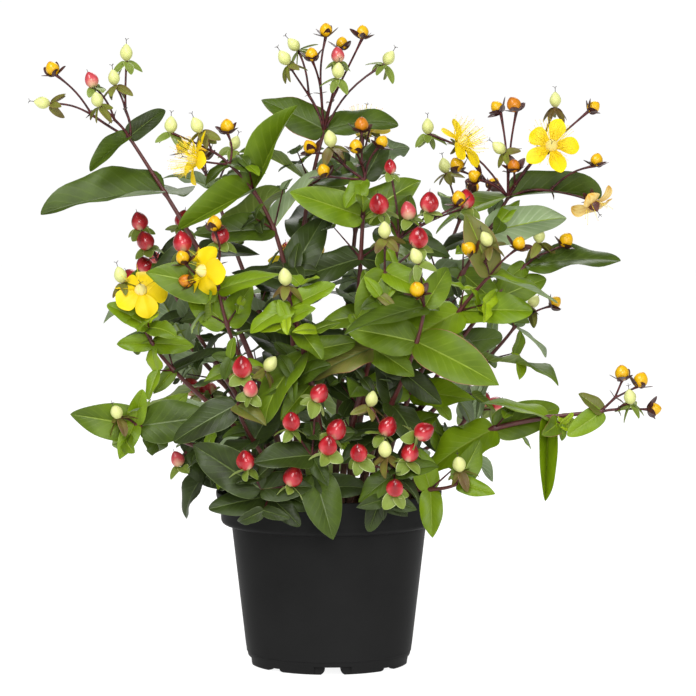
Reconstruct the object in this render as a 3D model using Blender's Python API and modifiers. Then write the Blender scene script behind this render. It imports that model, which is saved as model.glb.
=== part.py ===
"""Potted tutsan: a berrying shrub of many thin stems in a round plastic nursery pot.

Metres, +Z up. The origin is the middle of the pot's underside, and the front is -Y.
Each tall shoot is two pieces: a bare stem that stands on the potting mix, and above it the
leafy part with its truss of buds, flowers or berries, fused into one solid. A low shoot is
leafy from the potting mix up, so it is one piece.
"""

import math
import random
from collections import namedtuple

import bmesh
import bpy
from mathutils import Matrix, Vector
from mathutils.bvhtree import BVHTree
from mathutils.geometry import interpolate_bezier

UP = Vector((0, 0, 1))
GAP = 0.0003  # between pieces that touch

# Pot
RIM_R = 0.075
POT_H = 0.115
WALL = 0.0014
BAND_BOTTOM_R = 0.0732
BAND_BOTTOM_Z = 0.094
STEP_R = 0.0645
STEP_Z = 0.088
FOOT_R = 0.0526
FOOT_WIDTH = 0.0035
WALL_BOTTOM_R = 0.0554
WALL_BOTTOM_Z = 0.012
FLOOR_Z = 0.0055
FLOOR = 0.002
PAD_R = 0.014
POT_SEGMENTS = 24
NOTCH_WIDTH = 0.0083
NOTCH_HEIGHT = 0.005
GAP_WIDTH = 0.006
GAP_HEIGHT = 0.002
NOTCH_FLARE = 2.4
DRAIN_R = 0.004
DRAIN_RING_R = 0.036

# Potting mix
SOIL_Z = 0.106

# Stems
FOOT_STEM_R = 0.0023
FORK_STEM_R = 0.0011
LOW_STEM_R = 0.0017
PATH_STEPS = 24
BOUGH_SIDES = 6
BOUGH_POINTS = 3
LEAFY_SIDES = 4
LEAFY_POINTS = 4
LOW_POINTS = 4
SQUARE_END = 0.0012
STALK_R = 0.0007
STALK_ROOT_R = 0.0009
STALK_SINK = 0.0008

# Leaves
CROWN_R = 0.17
LEAF_WIDTH = 0.60  # share of the length, a little more than life
LEAF_THICKNESS = 0.018
LEAF_OPEN = math.radians(62)
LEAF_DROOP = math.radians(22)
LEAF_FOLD = math.radians(17)
LEAF_SAG = 0.02
LEAF_RINGS = (0.38,)  # where its outline has points, as shares of its length
PETAL_RINGS = (0.62,)
CLEARANCE = 0.0005
EASINGS = 6  # tries at moving a leaf that meets another piece
# Length of a leaf by its place on the shoot, as a share of the shoot's longest.
LOWEST_LEAF = 0.76
TOP_LEAF = 0.70
LIGHT = Vector((0, -0.30, 0.60))  # the side that leaves turn their faces to

# What a truss carries, by letter: its form, length and width.
TRUSS = {
    "R": {"form": "berry", "length": 0.0145, "width": 0.0130},
    "P": {"form": "berry", "length": 0.0125, "width": 0.0105},
    "S": {"form": "berry", "length": 0.0112, "width": 0.0090},
    "C": {"form": "capsule", "length": 0.0120, "width": 0.0092},
    "B": {"form": "bud", "length": 0.0108, "width": 0.0102},
    "F": {"form": "flower", "length": 0.0180, "width": 0.0110},
    "W": {"form": "flower", "length": 0.0130, "width": 0.0080},
}
OVARY_R = 0.0044
FRUIT_SIDES = 4
# The rings of a fruit's belly: the share of its length up, and of its width across.
PROFILES = {
    "berry": ((0.24, 1.00), (0.68, 0.86)),
    "capsule": ((0.24, 1.00), (0.66, 0.70)),
    "bud": ((0.50, 1.10),),
}
STEEP_ARM = 18  # degrees between the stem and every second side arm of a truss
ARM_RISE = Vector((0, -0.15, 0.5))  # how an item faces when its arm doesn't say
AIMED_DROOP = 0.6  # of the usual droop, for a leaf aimed by the photo

# Each shoot: where its stem stands, where it forks into its truss, its lean there from
# upright, how much of it is bare stem, its pairs of leaves, how they crowd to its tip (a low
# number crowds them), its longest leaf, and the turn of its topmost pair in degrees.
# "aims" are the leaves seen in the photo, from the tip down: bearing in the photo from the
# right, tilt to the viewer, length, and how far its face turns from the viewer to the sky.
# "arms" are the truss's items as the photo shows them: letter, bearing, tilt and reach, then
# the bearing and tilt that the item itself faces.
# A truss that the photo doesn't show has its letters from the middle one out, the turn of the
# first arm round the middle one, how wide its wide arms spread, and its reach.
SHOOTS = {
    "far_left": {
        "foot": (-0.026, 0.006), "fork": (-0.132, 0.005, 0.349), "lean": 33, "bare": 0.24,
        "pairs": 5, "crowd": 0.95, "leaf": 0.07, "spin": 10,
        "aims": (
            (40, -5, 0.032, 15), (215, 25, 0.036, 50), (182, 8, 0.084, 66), (30, -72, 0.055, 30),
            (205, 10, 0.042, 40), (0, -10, 0.042, 40), (188, 5, 0.036, 15), (330, 0, 0.034, 30),
        ),
        "arms": (
            ("B", 140, 0, 0.063), ("C", 157, 5, 0.056, 172, 10), ("C", 134, 25, 0.03, 100, 25),
            ("P", 124, 10, 0.04, 113, 10), ("C", 105, 5, 0.035, 97, 5),
            ("C", 92, -5, 0.05, 90, 5),
        ),
    },
    "left_flowering": {
        "foot": (-0.016, -0.01), "fork": (-0.065, -0.03, 0.332), "lean": 50, "bare": 0.26,
        "pairs": 5, "crowd": 0.6, "leaf": 0.062, "spin": 70,
        "aims": (
            (215, 10, 0.022, 60), (355, 10, 0.026, 60), (203, 25, 0.058, 50), (68, 8, 0.064, 55),
            (180, 15, 0.054, 38), (57, 12, 0.06, 128), (62, -8, 0.05, 20), (165, 0, 0.034, 30),
        ),
        "arms": (
            ("B", 92, 0, 0.019), ("C", 133, 10, 0.027, 112, 10), ("F", 176, 15, 0.018, 165, 15),
            ("C", 153, 0, 0.042, 88, 5),
        ),
    },
    "top_centre": {
        "foot": (-0.029, 0.015), "fork": (-0.003, 0.015, 0.354), "lean": 16, "bare": 0.32,
        "pairs": 5, "crowd": 1.0, "leaf": 0.058, "spin": 10,
        "aims": (
            (152, 10, 0.047, 18), (15, 5, 0.051, 55),
        ),
        "arms": (
            ("B", 89, 0, 0.061), ("B", 100, 15, 0.047, 95, 10), ("C", 108, -10, 0.056, 132, 5),
            ("C", 119, 8, 0.049, 122, 5), ("B", 78, -15, 0.056, 85, 0),
            ("P", 78, 14, 0.046, 95, 5), ("C", 75, 26, 0.038, 85, 15), ("B", 67, 4, 0.065, 90, 0),
            ("C", 47, -6, 0.059, 58, 0),
        ),
    },
    "centre_buds": {
        "foot": (0.014, -0.003), "fork": (0.0236, -0.025, 0.322), "lean": 6, "bare": 0.3,
        "pairs": 5, "crowd": 0.7, "leaf": 0.058, "spin": 30,
        "aims": (
            (232, 30, 0.025, 30), (62, -20, 0.034, 0), (160, 12, 0.051, 12), (36, 5, 0.047, 20),
            (195, -10, 0.046, 40), (350, -10, 0.046, 40),
        ),
        "arms": (
            ("B", 94, 0, 0.03, 90, 10), ("B", 108, 25, 0.019, 95, 20),
            ("B", 66, 5, 0.022, 60, 10), ("B", 178, 15, 0.026, 110, 15),
            ("B", 154, 0, 0.037, 120, 5), ("C", 137, 12, 0.03, 100, 10),
        ),
    },
    "centre_red": {
        "foot": (0.014, -0.018), "fork": (0.046, -0.05, 0.284), "lean": 14, "bare": 0.28,
        "pairs": 5, "crowd": 0.85, "leaf": 0.054, "spin": 50,
        "aims": (
            (75, -25, 0.034, 10), (345, 0, 0.036, 40),
        ),
        "arms": (
            ("R", 128, 15, 0.021, 98, 25), ("S", 98, -8, 0.042, 92, 5),
            ("R", 41, 5, 0.025, 88, 5), ("P", 62, 18, 0.014, 100, 5),
            ("B", 28, 0, 0.044, 100, 10), ("R", 23, -20, 0.05, 90, 0),
        ),
    },
    "right_flowering": {
        "foot": (0.026, 0.004), "fork": (0.119, 0.0, 0.31), "lean": 30, "bare": 0.24,
        "pairs": 5, "crowd": 0.7, "leaf": 0.064, "spin": 70,
        "aims": (
            (193, 15, 0.057, 72), (8, -8, 0.066, 50), (192, 0, 0.038, 60), (16, 5, 0.056, 160),
            (215, 0, 0.04, 30), (320, 0, 0.04, 20),
        ),
        "arms": (
            ("B", 95, -10, 0.056, 128, 0), ("B", 85, 5, 0.056, 115, 10),
            ("C", 62, -10, 0.067, 90, 0), ("B", 47, 0, 0.076, 40, 5),
            ("F", 50, 18, 0.044, 95, 72), ("B", 80, 30, 0.019, 95, 30),
            ("C", 96, 8, 0.029, 140, 10), ("F", 137, 10, 0.049, 40, 22),
            ("B", 153, 5, 0.036, 120, 10), ("B", 152, 25, 0.025, 140, 20),
            ("C", 143, -10, 0.068, 90, 0), ("W", 358, 12, 0.054, 300, 25),
            ("B", 19, 5, 0.06, 80, 0),
        ),
    },
    "right_mid": {
        "foot": (0.032, -0.016), "fork": (0.104, -0.052, 0.26), "lean": 45, "bare": 0.2,
        "pairs": 5, "crowd": 1.0, "leaf": 0.054, "spin": 10,
        "aims": (
            (107, 10, 0.044, 55), (346, 5, 0.048, 78), (206, 18, 0.064, 55), (5, 15, 0.048, 35),
            (345, 8, 0.036, 25), (190, 5, 0.042, 35), (151, 18, 0.045, 15), (357, 28, 0.045, 20),
        ),
        "arms": (
            ("C", 90, 8, 0.019, 118, 10), ("B", 125, 12, 0.018, 140, 15),
            ("B", 44, 5, 0.024, 70, 10),
        ),
    },
    "right_side": {
        "foot": (0.04, -0.002), "fork": (0.131, 0.012, 0.264), "lean": 46, "bare": 0.26,
        "pairs": 4, "crowd": 0.75, "leaf": 0.056, "spin": 80,
        "aims": (
            (10, 5, 0.064, 58), (215, 20, 0.021, 15), (25, 5, 0.04, 20), (330, 0, 0.03, 20),
            (10, -5, 0.034, 15), (215, 0, 0.034, 30), (305, 0, 0.034, 15), (180, 0, 0.034, 30),
        ),
        "arms": (
            ("C", 58, 8, 0.017, 95, 5), ("B", 27, 4, 0.027, 60, 10),
        ),
    },
    "far_right_low": {
        "foot": (0.05, -0.012), "fork": (0.179, -0.03, 0.17), "lean": 84, "bare": 0.2,
        "pairs": 4, "crowd": 0.95, "leaf": 0.05, "spin": 40,
        "aims": (
            (212, 18, 0.029, 12), (140, 5, 0.02, 30), (158, 12, 0.047, 68), (267, 12, 0.057, 66),
            (204, 22, 0.055, 42), (18, -8, 0.05, 12),
        ),
        "arms": (
            ("B", 57, 0, 0.024, 95, 5), ("B", 35, 5, 0.028, 70, 5), ("C", 16, 20, 0.02, 100, 20),
            ("B", 3, 5, 0.029, 5, 10),
        ),
    },
    "lower_left": {
        "foot": (-0.046, -0.024), "fork": (-0.124, -0.072, 0.166), "lean": 66, "bare": 0.2,
        "pairs": 4, "crowd": 0.13, "leaf": 0.046, "spin": 90,
        "aims": (
            (76, 25, 0.025, 10), (246, 28, 0.026, 15), (168, 15, 0.046, 10), (10, 12, 0.05, 18),
            (44, -10, 0.036, 20), (300, -40, 0.03, 30),
        ),
        "arms": (
            ("C", 153, 40, 0.013, 112, 35),
        ),
    },
    "left_flower": {
        "foot": (-0.034, -0.012), "fork": (-0.122, -0.038, 0.23), "lean": 22, "bare": 0.24,
        "pairs": 4, "crowd": 0.42, "leaf": 0.036, "spin": 75,
        "aims": (
            (150, 20, 0.025, 20), (48, -12, 0.02, 10), (178, 15, 0.024, 15), (0, 22, 0.029, 22),
            (226, 22, 0.021, 25), (28, 0, 0.04, 74), (205, 0, 0.033, 68), (20, -10, 0.03, 15),
        ),
        "arms": (
            ("F", 88, 12, 0.018, 88, 52), ("C", 115, 5, 0.027, 106, 5),
        ),
    },
    "left_middle": {
        "foot": (-0.024, -0.026), "fork": (-0.07, -0.07, 0.252), "lean": 12, "bare": 0.26,
        "pairs": 4, "crowd": 0.62, "leaf": 0.046, "spin": 60,
        "aims": (
            (163, 15, 0.049, 18), (20, 8, 0.042, 48), (140, -5, 0.036, 2), (58, -18, 0.034, 2),
            (200, 12, 0.028, 48), (335, 28, 0.026, 40),
        ),
        "arms": (
            ("F", 120, 20, 0.015, 178, 48), ("B", 162, 20, 0.018, 172, 20),
            ("R", 134, -10, 0.033, 97, 5), ("B", 142, 12, 0.027, 112, 15),
            ("R", 88, -20, 0.03, 92, 0), ("B", 94, -4, 0.037, 90, 5),
        ),
    },
    "left_red": {
        "foot": (-0.036, 0.01), "fork": (-0.112, 0.04, 0.26), "lean": 24, "bare": 0.26,
        "pairs": 4, "crowd": 0.9, "leaf": 0.048, "spin": 20,
        "aims": (
            (60, 0, 0.03, 10), (200, 5, 0.03, 30),
        ),
        "arms": (
            ("R", 118, 5, 0.03, 105, 5), ("R", 125, 22, 0.018, 108, 20),
            ("R", 200, -20, 0.012, 110, 0), ("R", 65, 0, 0.03, 80, 0),
        ),
    },
    "centre_capsule_left": {
        "foot": (0.0, -0.034), "fork": (-0.0225, -0.098, 0.243), "lean": 36, "bare": 0.22,
        "pairs": 5, "crowd": 0.62, "leaf": 0.044, "spin": 10,
        "aims": (
            (203, 18, 0.033, 42), (30, 8, 0.031, 48), (312, 42, 0.03, 22), (165, 8, 0.026, 20),
            (227, 20, 0.054, 84), (14, 10, 0.034, 15), (75, 5, 0.03, 0), (228, 35, 0.034, 12),
        ),
        "arms": (
            ("C", 106, 5, 0.013, 98, 8),
        ),
    },
    "centre_capsule_right": {
        "foot": (0.008, -0.036), "fork": (0.036, -0.09, 0.264), "lean": 8, "bare": 0.24,
        "pairs": 5, "crowd": 0.85, "leaf": 0.048, "spin": 40,
        "aims": (
            (238, 22, 0.036, 5), (338, 18, 0.036, 30), (112, -15, 0.03, 10), (20, -15, 0.036, 15),
            (200, 15, 0.046, 40), (340, 10, 0.042, 25),
        ),
        "arms": (
            ("C", 90, 5, 0.021, 92, 10), ("R", 35, -8, 0.026, 88, 10),
        ),
    },
    "centre_capsule_far": {
        "foot": (0.022, -0.032), "fork": (0.061, -0.102, 0.243), "lean": 16, "bare": 0.24,
        "pairs": 5, "crowd": 0.9, "leaf": 0.048, "spin": 0,
        "aims": (
            (196, 10, 0.06, 58), (58, -15, 0.032, 5), (166, 12, 0.046, 20), (336, 20, 0.06, 22),
            (140, 18, 0.028, 2), (322, 28, 0.032, 5),
        ),
        "arms": (
            ("C", 98, 5, 0.027, 112, 10), ("B", 118, 40, 0.01, 110, 30),
        ),
    },
    "front_berries_left": {
        "foot": (-0.03, -0.042), "fork": (-0.058, -0.092, 0.18), "lean": 28, "bare": 0,
        "pairs": 3, "crowd": 1.0, "leaf": 0.044, "spin": 20,
        "aims": (
            (207, 8, 0.047, 28), (335, 10, 0.032, 40),
        ),
        "arms": (
            ("R", 76, 8, 0.018, 92, 10), ("P", 32, 28, 0.012, 85, 20),
            ("C", 49, -5, 0.028, 55, 5),
        ),
    },
    "front_berries_centre": {
        "foot": (-0.004, -0.053), "fork": (-0.01, -0.112, 0.15), "lean": 30, "bare": 0,
        "pairs": 3, "crowd": 0.7, "leaf": 0.044, "spin": 0,
        "aims": (
            (180, 12, 0.041, 32), (300, 32, 0.024, 10), (287, 20, 0.045, 15),
            (312, 12, 0.026, 15),
        ),
        "arms": (
            ("R", 87, 0, 0.034, 60, 15), ("R", 127, 12, 0.021, 92, 25),
            ("R", 40, 12, 0.017, 65, 15), ("R", 10, 45, 0.014, 85, 25),
        ),
    },
    "front_berries_low": {
        "foot": (-0.022, -0.053), "fork": (-0.042, -0.108, 0.128), "lean": 52, "bare": 0,
        "pairs": 3, "crowd": 0.6, "leaf": 0.044, "spin": 0,
        "aims": (
            (146, 0, 0.054, 12), (10, 15, 0.034, 30), (188, 15, 0.04, 30), (320, 20, 0.028, 30),
        ),
        "arms": (
            ("R", 8, 12, 0.019, 74, 15), ("R", 126, 15, 0.016, 95, 10),
        ),
    },
    "front_berries_right": {
        "foot": (0.016, -0.05), "fork": (0.042, -0.108, 0.138), "lean": 30, "bare": 0,
        "pairs": 3, "crowd": 0.7, "leaf": 0.042, "spin": 30,
        "aims": (
            (215, 10, 0.03, 25), (15, 0, 0.03, 30), (250, 15, 0.03, 10), (312, 15, 0.024, 15),
        ),
        "arms": (
            ("C", 119, 22, 0.013, 92, 20), ("R", 106, -6, 0.025, 66, 15),
            ("R", 158, 12, 0.024, 98, 30), ("R", 45, 5, 0.011, 72, 10),
            ("R", 62, 5, 0.027, 28, 10), ("R", 270, 30, 0.014, 90, 42),
            ("C", 111, -20, 0.046, 78, 5),
        ),
    },
    "low_right": {
        "foot": (0.038, -0.038), "fork": (0.083, -0.076, 0.128), "lean": 62, "bare": 0,
        "pairs": 3, "crowd": 1.0, "leaf": 0.034, "spin": 10,
        "aims": (
            (62, -8, 0.032, 8), (350, 25, 0.026, 28), (108, 5, 0.029, 8), (272, 22, 0.032, 2),
            (200, 20, 0.024, 30), (330, 0, 0.03, 30),
        ),
        "arms": (
            ("C", 80, 25, 0.009, 100, 28),
        ),
    },
    "low_left": {
        "foot": (-0.05, 0.004), "fork": (-0.096, 0.0, 0.14), "lean": 58, "bare": 0,
        "pairs": 3, "crowd": 1.0, "leaf": 0.048, "spin": 10,
        "aims": (
            (35, -5, 0.04, 20), (322, 15, 0.04, 20),
        ),
        "arms": (
            ("P", 255, 25, 0.01, 112, 10),
        ),
    },
    "back_left_high": {
        "foot": (-0.016, 0.022), "fork": (-0.08, 0.092, 0.314), "lean": 26, "bare": 0.26,
        "pairs": 4, "crowd": 0.9, "leaf": 0.066, "spin": 0,
        "truss": "BCB", "turn": 45, "wide": 44, "reach": 0.034,
    },
    "back_high": {
        "foot": (0.004, 0.024), "fork": (0.022, 0.088, 0.33), "lean": 18, "bare": 0.28,
        "pairs": 4, "crowd": 0.9, "leaf": 0.066, "spin": 30,
        "truss": "FBC", "turn": 75, "wide": 44, "reach": 0.034,
    },
    "back_right_high": {
        "foot": (0.021, 0.021), "fork": (0.09, 0.09, 0.292), "lean": 30, "bare": 0.26,
        "pairs": 4, "crowd": 0.9, "leaf": 0.066, "spin": 70,
        "truss": "BCB", "turn": 115, "wide": 44, "reach": 0.034,
    },
    "back_left": {
        "foot": (-0.031, 0.028), "fork": (-0.118, 0.104, 0.232), "lean": 40, "bare": 0.24,
        "pairs": 4, "crowd": 0.9, "leaf": 0.062, "spin": 45,
        "truss": "RPR", "turn": 90, "wide": 44, "reach": 0.03,
    },
    "back_mid": {
        "foot": (-0.008, 0.04), "fork": (-0.022, 0.136, 0.24), "lean": 34, "bare": 0.24,
        "pairs": 4, "crowd": 0.9, "leaf": 0.062, "spin": 20,
        "truss": "FBR", "turn": 65, "wide": 44, "reach": 0.032,
    },
    "back_right": {
        "foot": (0.038, 0.02), "fork": (0.128, 0.088, 0.218), "lean": 44, "bare": 0.24,
        "pairs": 4, "crowd": 0.9, "leaf": 0.062, "spin": 80,
        "truss": "CRB", "turn": 125, "wide": 44, "reach": 0.03,
    },
    "back_low_left": {
        "foot": (-0.034, 0.044), "fork": (-0.076, 0.11, 0.158), "lean": 52, "bare": 0,
        "pairs": 3, "crowd": 0.9, "leaf": 0.056, "spin": 0,
        "truss": "RRR", "turn": 45, "wide": 44, "reach": 0.026,
    },
    "back_low": {
        "foot": (0.008, 0.054), "fork": (0.02, 0.128, 0.156), "lean": 52, "bare": 0,
        "pairs": 3, "crowd": 0.9, "leaf": 0.056, "spin": 30,
        "truss": "RPR", "turn": 75, "wide": 44, "reach": 0.026,
    },
    "back_low_right": {
        "foot": (0.04, 0.04), "fork": (0.094, 0.098, 0.152), "lean": 52, "bare": 0,
        "pairs": 3, "crowd": 0.9, "leaf": 0.054, "spin": 60,
        "truss": "RCR", "turn": 105, "wide": 44, "reach": 0.026,
    },
}

Blade = namedtuple("Blade", "root along normal length width thickness droop fold rings")
Solid = namedtuple("Solid", "owner tree centre radius")


# Scene and materials


def clear_scene():
    for obj in list(bpy.data.objects):
        bpy.data.objects.remove(obj)


def new_collection(name):
    collection = bpy.data.collections.new(name)
    bpy.context.scene.collection.children.link(collection)
    return collection


def new_material(name, colour, roughness):
    material = bpy.data.materials.new(name)
    material.use_nodes = True
    shader = material.node_tree.nodes["Principled BSDF"]
    shader.inputs["Base Color"].default_value = (*colour, 1)
    shader.inputs["Roughness"].default_value = roughness
    shader.inputs["Metallic"].default_value = 0
    material.diffuse_color = (*colour, 1)
    return material


def make_materials():
    return {
        "pot": new_material("black_plastic", (0.018, 0.018, 0.019), 0.45),
        "soil": new_material("potting_mix", (0.035, 0.022, 0.014), 0.95),
        "stem": new_material("maroon_bark", (0.105, 0.028, 0.024), 0.60),
        "leaf": new_material("green_leaf", (0.085, 0.190, 0.022), 0.40),
        "berry": new_material("red_berry", (0.600, 0.020, 0.035), 0.22),
        "capsule": new_material("cream_capsule", (0.640, 0.700, 0.290), 0.35),
        "bud": new_material("yellow_bud", (0.850, 0.440, 0.020), 0.35),
        "flower": new_material("yellow_petal", (0.900, 0.620, 0.010), 0.45),
    }


# Pot and potting mix


def turned(name, profile, material, collection):
    """A closed turned solid, from an (r, z) profile that ends on the axis."""
    mesh = bpy.data.meshes.new(name)
    edges = [(i, i + 1) for i in range(len(profile) - 1)]
    mesh.from_pydata([(r, 0, z) for r, z in profile], edges, [])
    mesh.materials.append(material)
    obj = bpy.data.objects.new(name, mesh)
    collection.objects.link(obj)
    screw = obj.modifiers.new("Turn", "SCREW")
    screw.steps = screw.render_steps = POT_SEGMENTS
    screw.use_merge_vertices = True
    screw.merge_threshold = 0.0001
    return obj


def pot_inside():
    """The inner wall's profile, from the floor's corner to the rim."""
    return [
        (FOOT_R - 0.0010, FLOOR_Z + FLOOR),
        (WALL_BOTTOM_R - WALL, WALL_BOTTOM_Z),
        (STEP_R - WALL, STEP_Z),
        (BAND_BOTTOM_R - WALL - 0.0014, STEP_Z + 0.0042),
        (RIM_R - WALL, POT_H),
    ]


def notch_cutter(name, bearing, width, height, cutters):
    """A wedge that opens downwards through the foot ring at one bearing."""
    bm = bmesh.new()
    bmesh.ops.create_cube(bm, size=1)
    for vert in bm.verts:
        spread = NOTCH_FLARE if vert.co.z < 0 else 1.0
        vert.co.x *= 2 * FOOT_WIDTH + 0.006
        vert.co.y *= width * spread
        vert.co.z = height if vert.co.z > 0 else -height
    place = Matrix.Rotation(bearing, 4, "Z") @ Matrix.Translation((FOOT_R, 0, 0))
    bmesh.ops.transform(bm, matrix=place, verts=bm.verts)
    return helper(name, bm, cutters)


def drain_cutter(name, bearing, cutters):
    bm = bmesh.new()
    bmesh.ops.create_cone(
        bm, cap_ends=True, segments=8, radius1=DRAIN_R, radius2=DRAIN_R, depth=4 * FLOOR
    )
    place = Matrix.Rotation(bearing, 4, "Z") @ Matrix.Translation((DRAIN_RING_R, 0, FLOOR_Z))
    bmesh.ops.transform(bm, matrix=place, verts=bm.verts)
    return helper(name, bm, cutters)


def helper(name, bm, collection):
    """An object that only cuts: it isn't rendered."""
    mesh = bpy.data.meshes.new(name)
    bm.to_mesh(mesh)
    bm.free()
    obj = bpy.data.objects.new(name, mesh)
    obj.hide_render = True
    obj.display_type = "WIRE"
    collection.objects.link(obj)
    return obj


def make_pot(material, collection, cutters):
    outside = [
        (RIM_R, POT_H),
        (BAND_BOTTOM_R, BAND_BOTTOM_Z),
        (BAND_BOTTOM_R - 0.0016, BAND_BOTTOM_Z - 0.0040),
        (BAND_BOTTOM_R - 0.0046, STEP_Z + 0.0006),
        (STEP_R, STEP_Z - 0.0010),
        (WALL_BOTTOM_R, WALL_BOTTOM_Z),
        (FOOT_R + 0.0010, WALL_BOTTOM_Z - 0.0065),
        (FOOT_R, 0),
        (FOOT_R - FOOT_WIDTH, 0),
        (FOOT_R - FOOT_WIDTH - 0.0008, FLOOR_Z),
        (PAD_R + 0.0008, FLOOR_Z),
        (PAD_R, 0),
        (0, 0),
    ]
    profile = [(0, FLOOR_Z + FLOOR), *pot_inside(), *outside]
    pot = turned("pot", profile, material, collection)
    for i in range(8):
        bearing = i * math.pi / 4
        deep = i % 2 == 0
        cuts = [
            notch_cutter(
                f"foot_notch_{i}",
                bearing,
                NOTCH_WIDTH if deep else GAP_WIDTH,
                NOTCH_HEIGHT if deep else GAP_HEIGHT,
                cutters,
            ),
            drain_cutter(f"drain_hole_{i}", bearing, cutters),
        ]
        for cutter in cuts:
            cut = pot.modifiers.new(cutter.name, "BOOLEAN")
            cut.operation = "DIFFERENCE"
            cut.object = cutter
    return pot


def make_soil(material, collection):
    wall = [(r - GAP, z + GAP) for r, z in pot_inside()[:-1]]
    low, high = pot_inside()[-2:]
    share = (SOIL_Z - low[1]) / (high[1] - low[1])
    top_r = low[0] + share * (high[0] - low[0]) - GAP
    profile = [(0, SOIL_Z), (top_r, SOIL_Z), *reversed(wall), (0, FLOOR_Z + FLOOR + GAP)]
    return turned("potting_mix", profile, material, collection)


# Stems


def along_path(points, share):
    """The point and the direction at a share of a path's length."""
    lengths = [(b - a).length for a, b in zip(points, points[1:])]
    left = share * sum(lengths)
    for a, b, length in zip(points, points[1:], lengths):
        if left <= length or b is points[-1]:
            return a.lerp(b, left / length), (b - a).normalized()
        left -= length


def path_length(points):
    return sum((b - a).length for a, b in zip(points, points[1:]))


def stem_path(shoot):
    """A stem rises steeply from the potting mix and leans out more and more to its fork."""
    foot = Vector((*shoot["foot"], SOIL_Z + GAP))
    fork = Vector(shoot["fork"])
    span = (fork - foot).length
    out = Vector((fork.x - foot.x, fork.y - foot.y, 0)).normalized()
    lean = math.radians(shoot["lean"])
    tip = UP * math.cos(lean) + out * math.sin(lean)
    rise = (UP + out * 0.28 * math.sin(lean)).normalized()
    return interpolate_bezier(
        foot, foot + rise * span * 0.36, fork - tip * span * 0.36, fork, PATH_STEPS
    )


def stem_radius(shoot, share):
    thick = FOOT_STEM_R if shoot["bare"] else LOW_STEM_R
    return thick + (FORK_STEM_R - thick) * share


def stretch(shoot, path, start, end, count):
    """Evenly spaced points on part of a path, with the stem's radius at each.

    The foot is cut level, and where the bare stem meets the leafy one both are cut square.
    """
    shares = [start + (end - start) * i / (count - 1) for i in range(count)]
    points = [along_path(path, share)[0] for share in shares]
    radii = [stem_radius(shoot, share) for share in shares]
    first = along_path(path, start)[1] if start else UP
    points.insert(1, points[0] + first * SQUARE_END)
    radii.insert(1, radii[0])
    if end < 1:
        points.insert(-1, points[-1] - along_path(path, end)[1] * SQUARE_END)
        radii.insert(-1, radii[-1])
    return points, radii


def tube(name, points, radii, sides, material, collection):
    """A tapering limb with flat ends, as a bevelled curve."""
    curve = bpy.data.curves.new(name, "CURVE")
    curve.dimensions = "3D"
    curve.bevel_depth = 1
    curve.bevel_resolution = sides // 2 - 2
    curve.use_fill_caps = True
    curve.materials.append(material)
    spline = curve.splines.new("POLY")
    spline.points.add(len(points) - 1)
    for place, point, radius in zip(spline.points, points, radii):
        place.co = (*point, 1)
        place.radius = radius
    obj = bpy.data.objects.new(name, curve)
    collection.objects.link(obj)
    return obj


def as_mesh(obj, collection):
    """The curve object turned into a mesh object of the same name, its caps welded on."""
    bpy.context.view_layer.update()
    graph = bpy.context.evaluated_depsgraph_get()
    mesh = bpy.data.meshes.new_from_object(obj.evaluated_get(graph))
    bm = bmesh.new()
    bm.from_mesh(mesh)
    bmesh.ops.remove_doubles(bm, verts=bm.verts, dist=0.00001)
    bmesh.ops.recalc_face_normals(bm, faces=bm.faces)
    bm.to_mesh(mesh)
    bm.free()
    name = obj.name
    made = bpy.data.objects.new(name + "_mesh", mesh)
    made.matrix_world = obj.matrix_world
    bpy.data.objects.remove(obj)
    made.name = name
    collection.objects.link(made)
    return made


# Blades and fruit


def ovate(u):
    """Half width of a leaf at a share of its length, broadest near a third."""
    return math.sin(math.pi * u**0.68) ** 0.8


def obovate(u):
    """Half width of a petal, broadest past the middle."""
    return math.sin(math.pi * u**1.5) ** 0.8 if 0 < u < 1 else 0


def blade_bmesh(blade, outline, grow=0.0):
    """A thin leaf or petal: a sphere of four meridians, drawn out, folded and bent."""
    side = blade.along.cross(blade.normal).normalized()
    shares = (0, *blade.rings, 1)
    bm = bmesh.new()
    bmesh.ops.create_uvsphere(bm, u_segments=4, v_segments=len(shares) - 1, radius=1)
    for vert in bm.verts:
        latitude = math.acos(max(-1, min(1, -vert.co.z))) / math.pi
        u = shares[round(latitude * (len(shares) - 1))]
        on_ring = 0 < u < 1
        across = on_ring and (abs(vert.co.x) > 0.1) * math.copysign(1, vert.co.x)
        through = on_ring and (abs(vert.co.y) > 0.1) * math.copysign(1, vert.co.y)
        bend = blade.droop * u
        run = blade.length * math.sin(bend) / blade.droop
        drop = blade.length * (1 - math.cos(bend)) / blade.droop
        normal = blade.normal * math.cos(bend) + blade.along * math.sin(bend)
        half = blade.width / 2 * outline(u) + grow
        vert.co = (
            blade.root
            + blade.along * (run + (grow if u == 1 else 0))
            - blade.normal * drop
            + side * (across * half * math.cos(blade.fold))
            + normal * (abs(across) * half * math.sin(blade.fold))
            + normal * through * (blade.thickness / 2 + grow)
        )
    bmesh.ops.recalc_face_normals(bm, faces=bm.faces)
    return bm


def axes_for(direction):
    """A rotation that turns +Z to the direction."""
    return direction.to_track_quat("Z", "Y").to_matrix()


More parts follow.
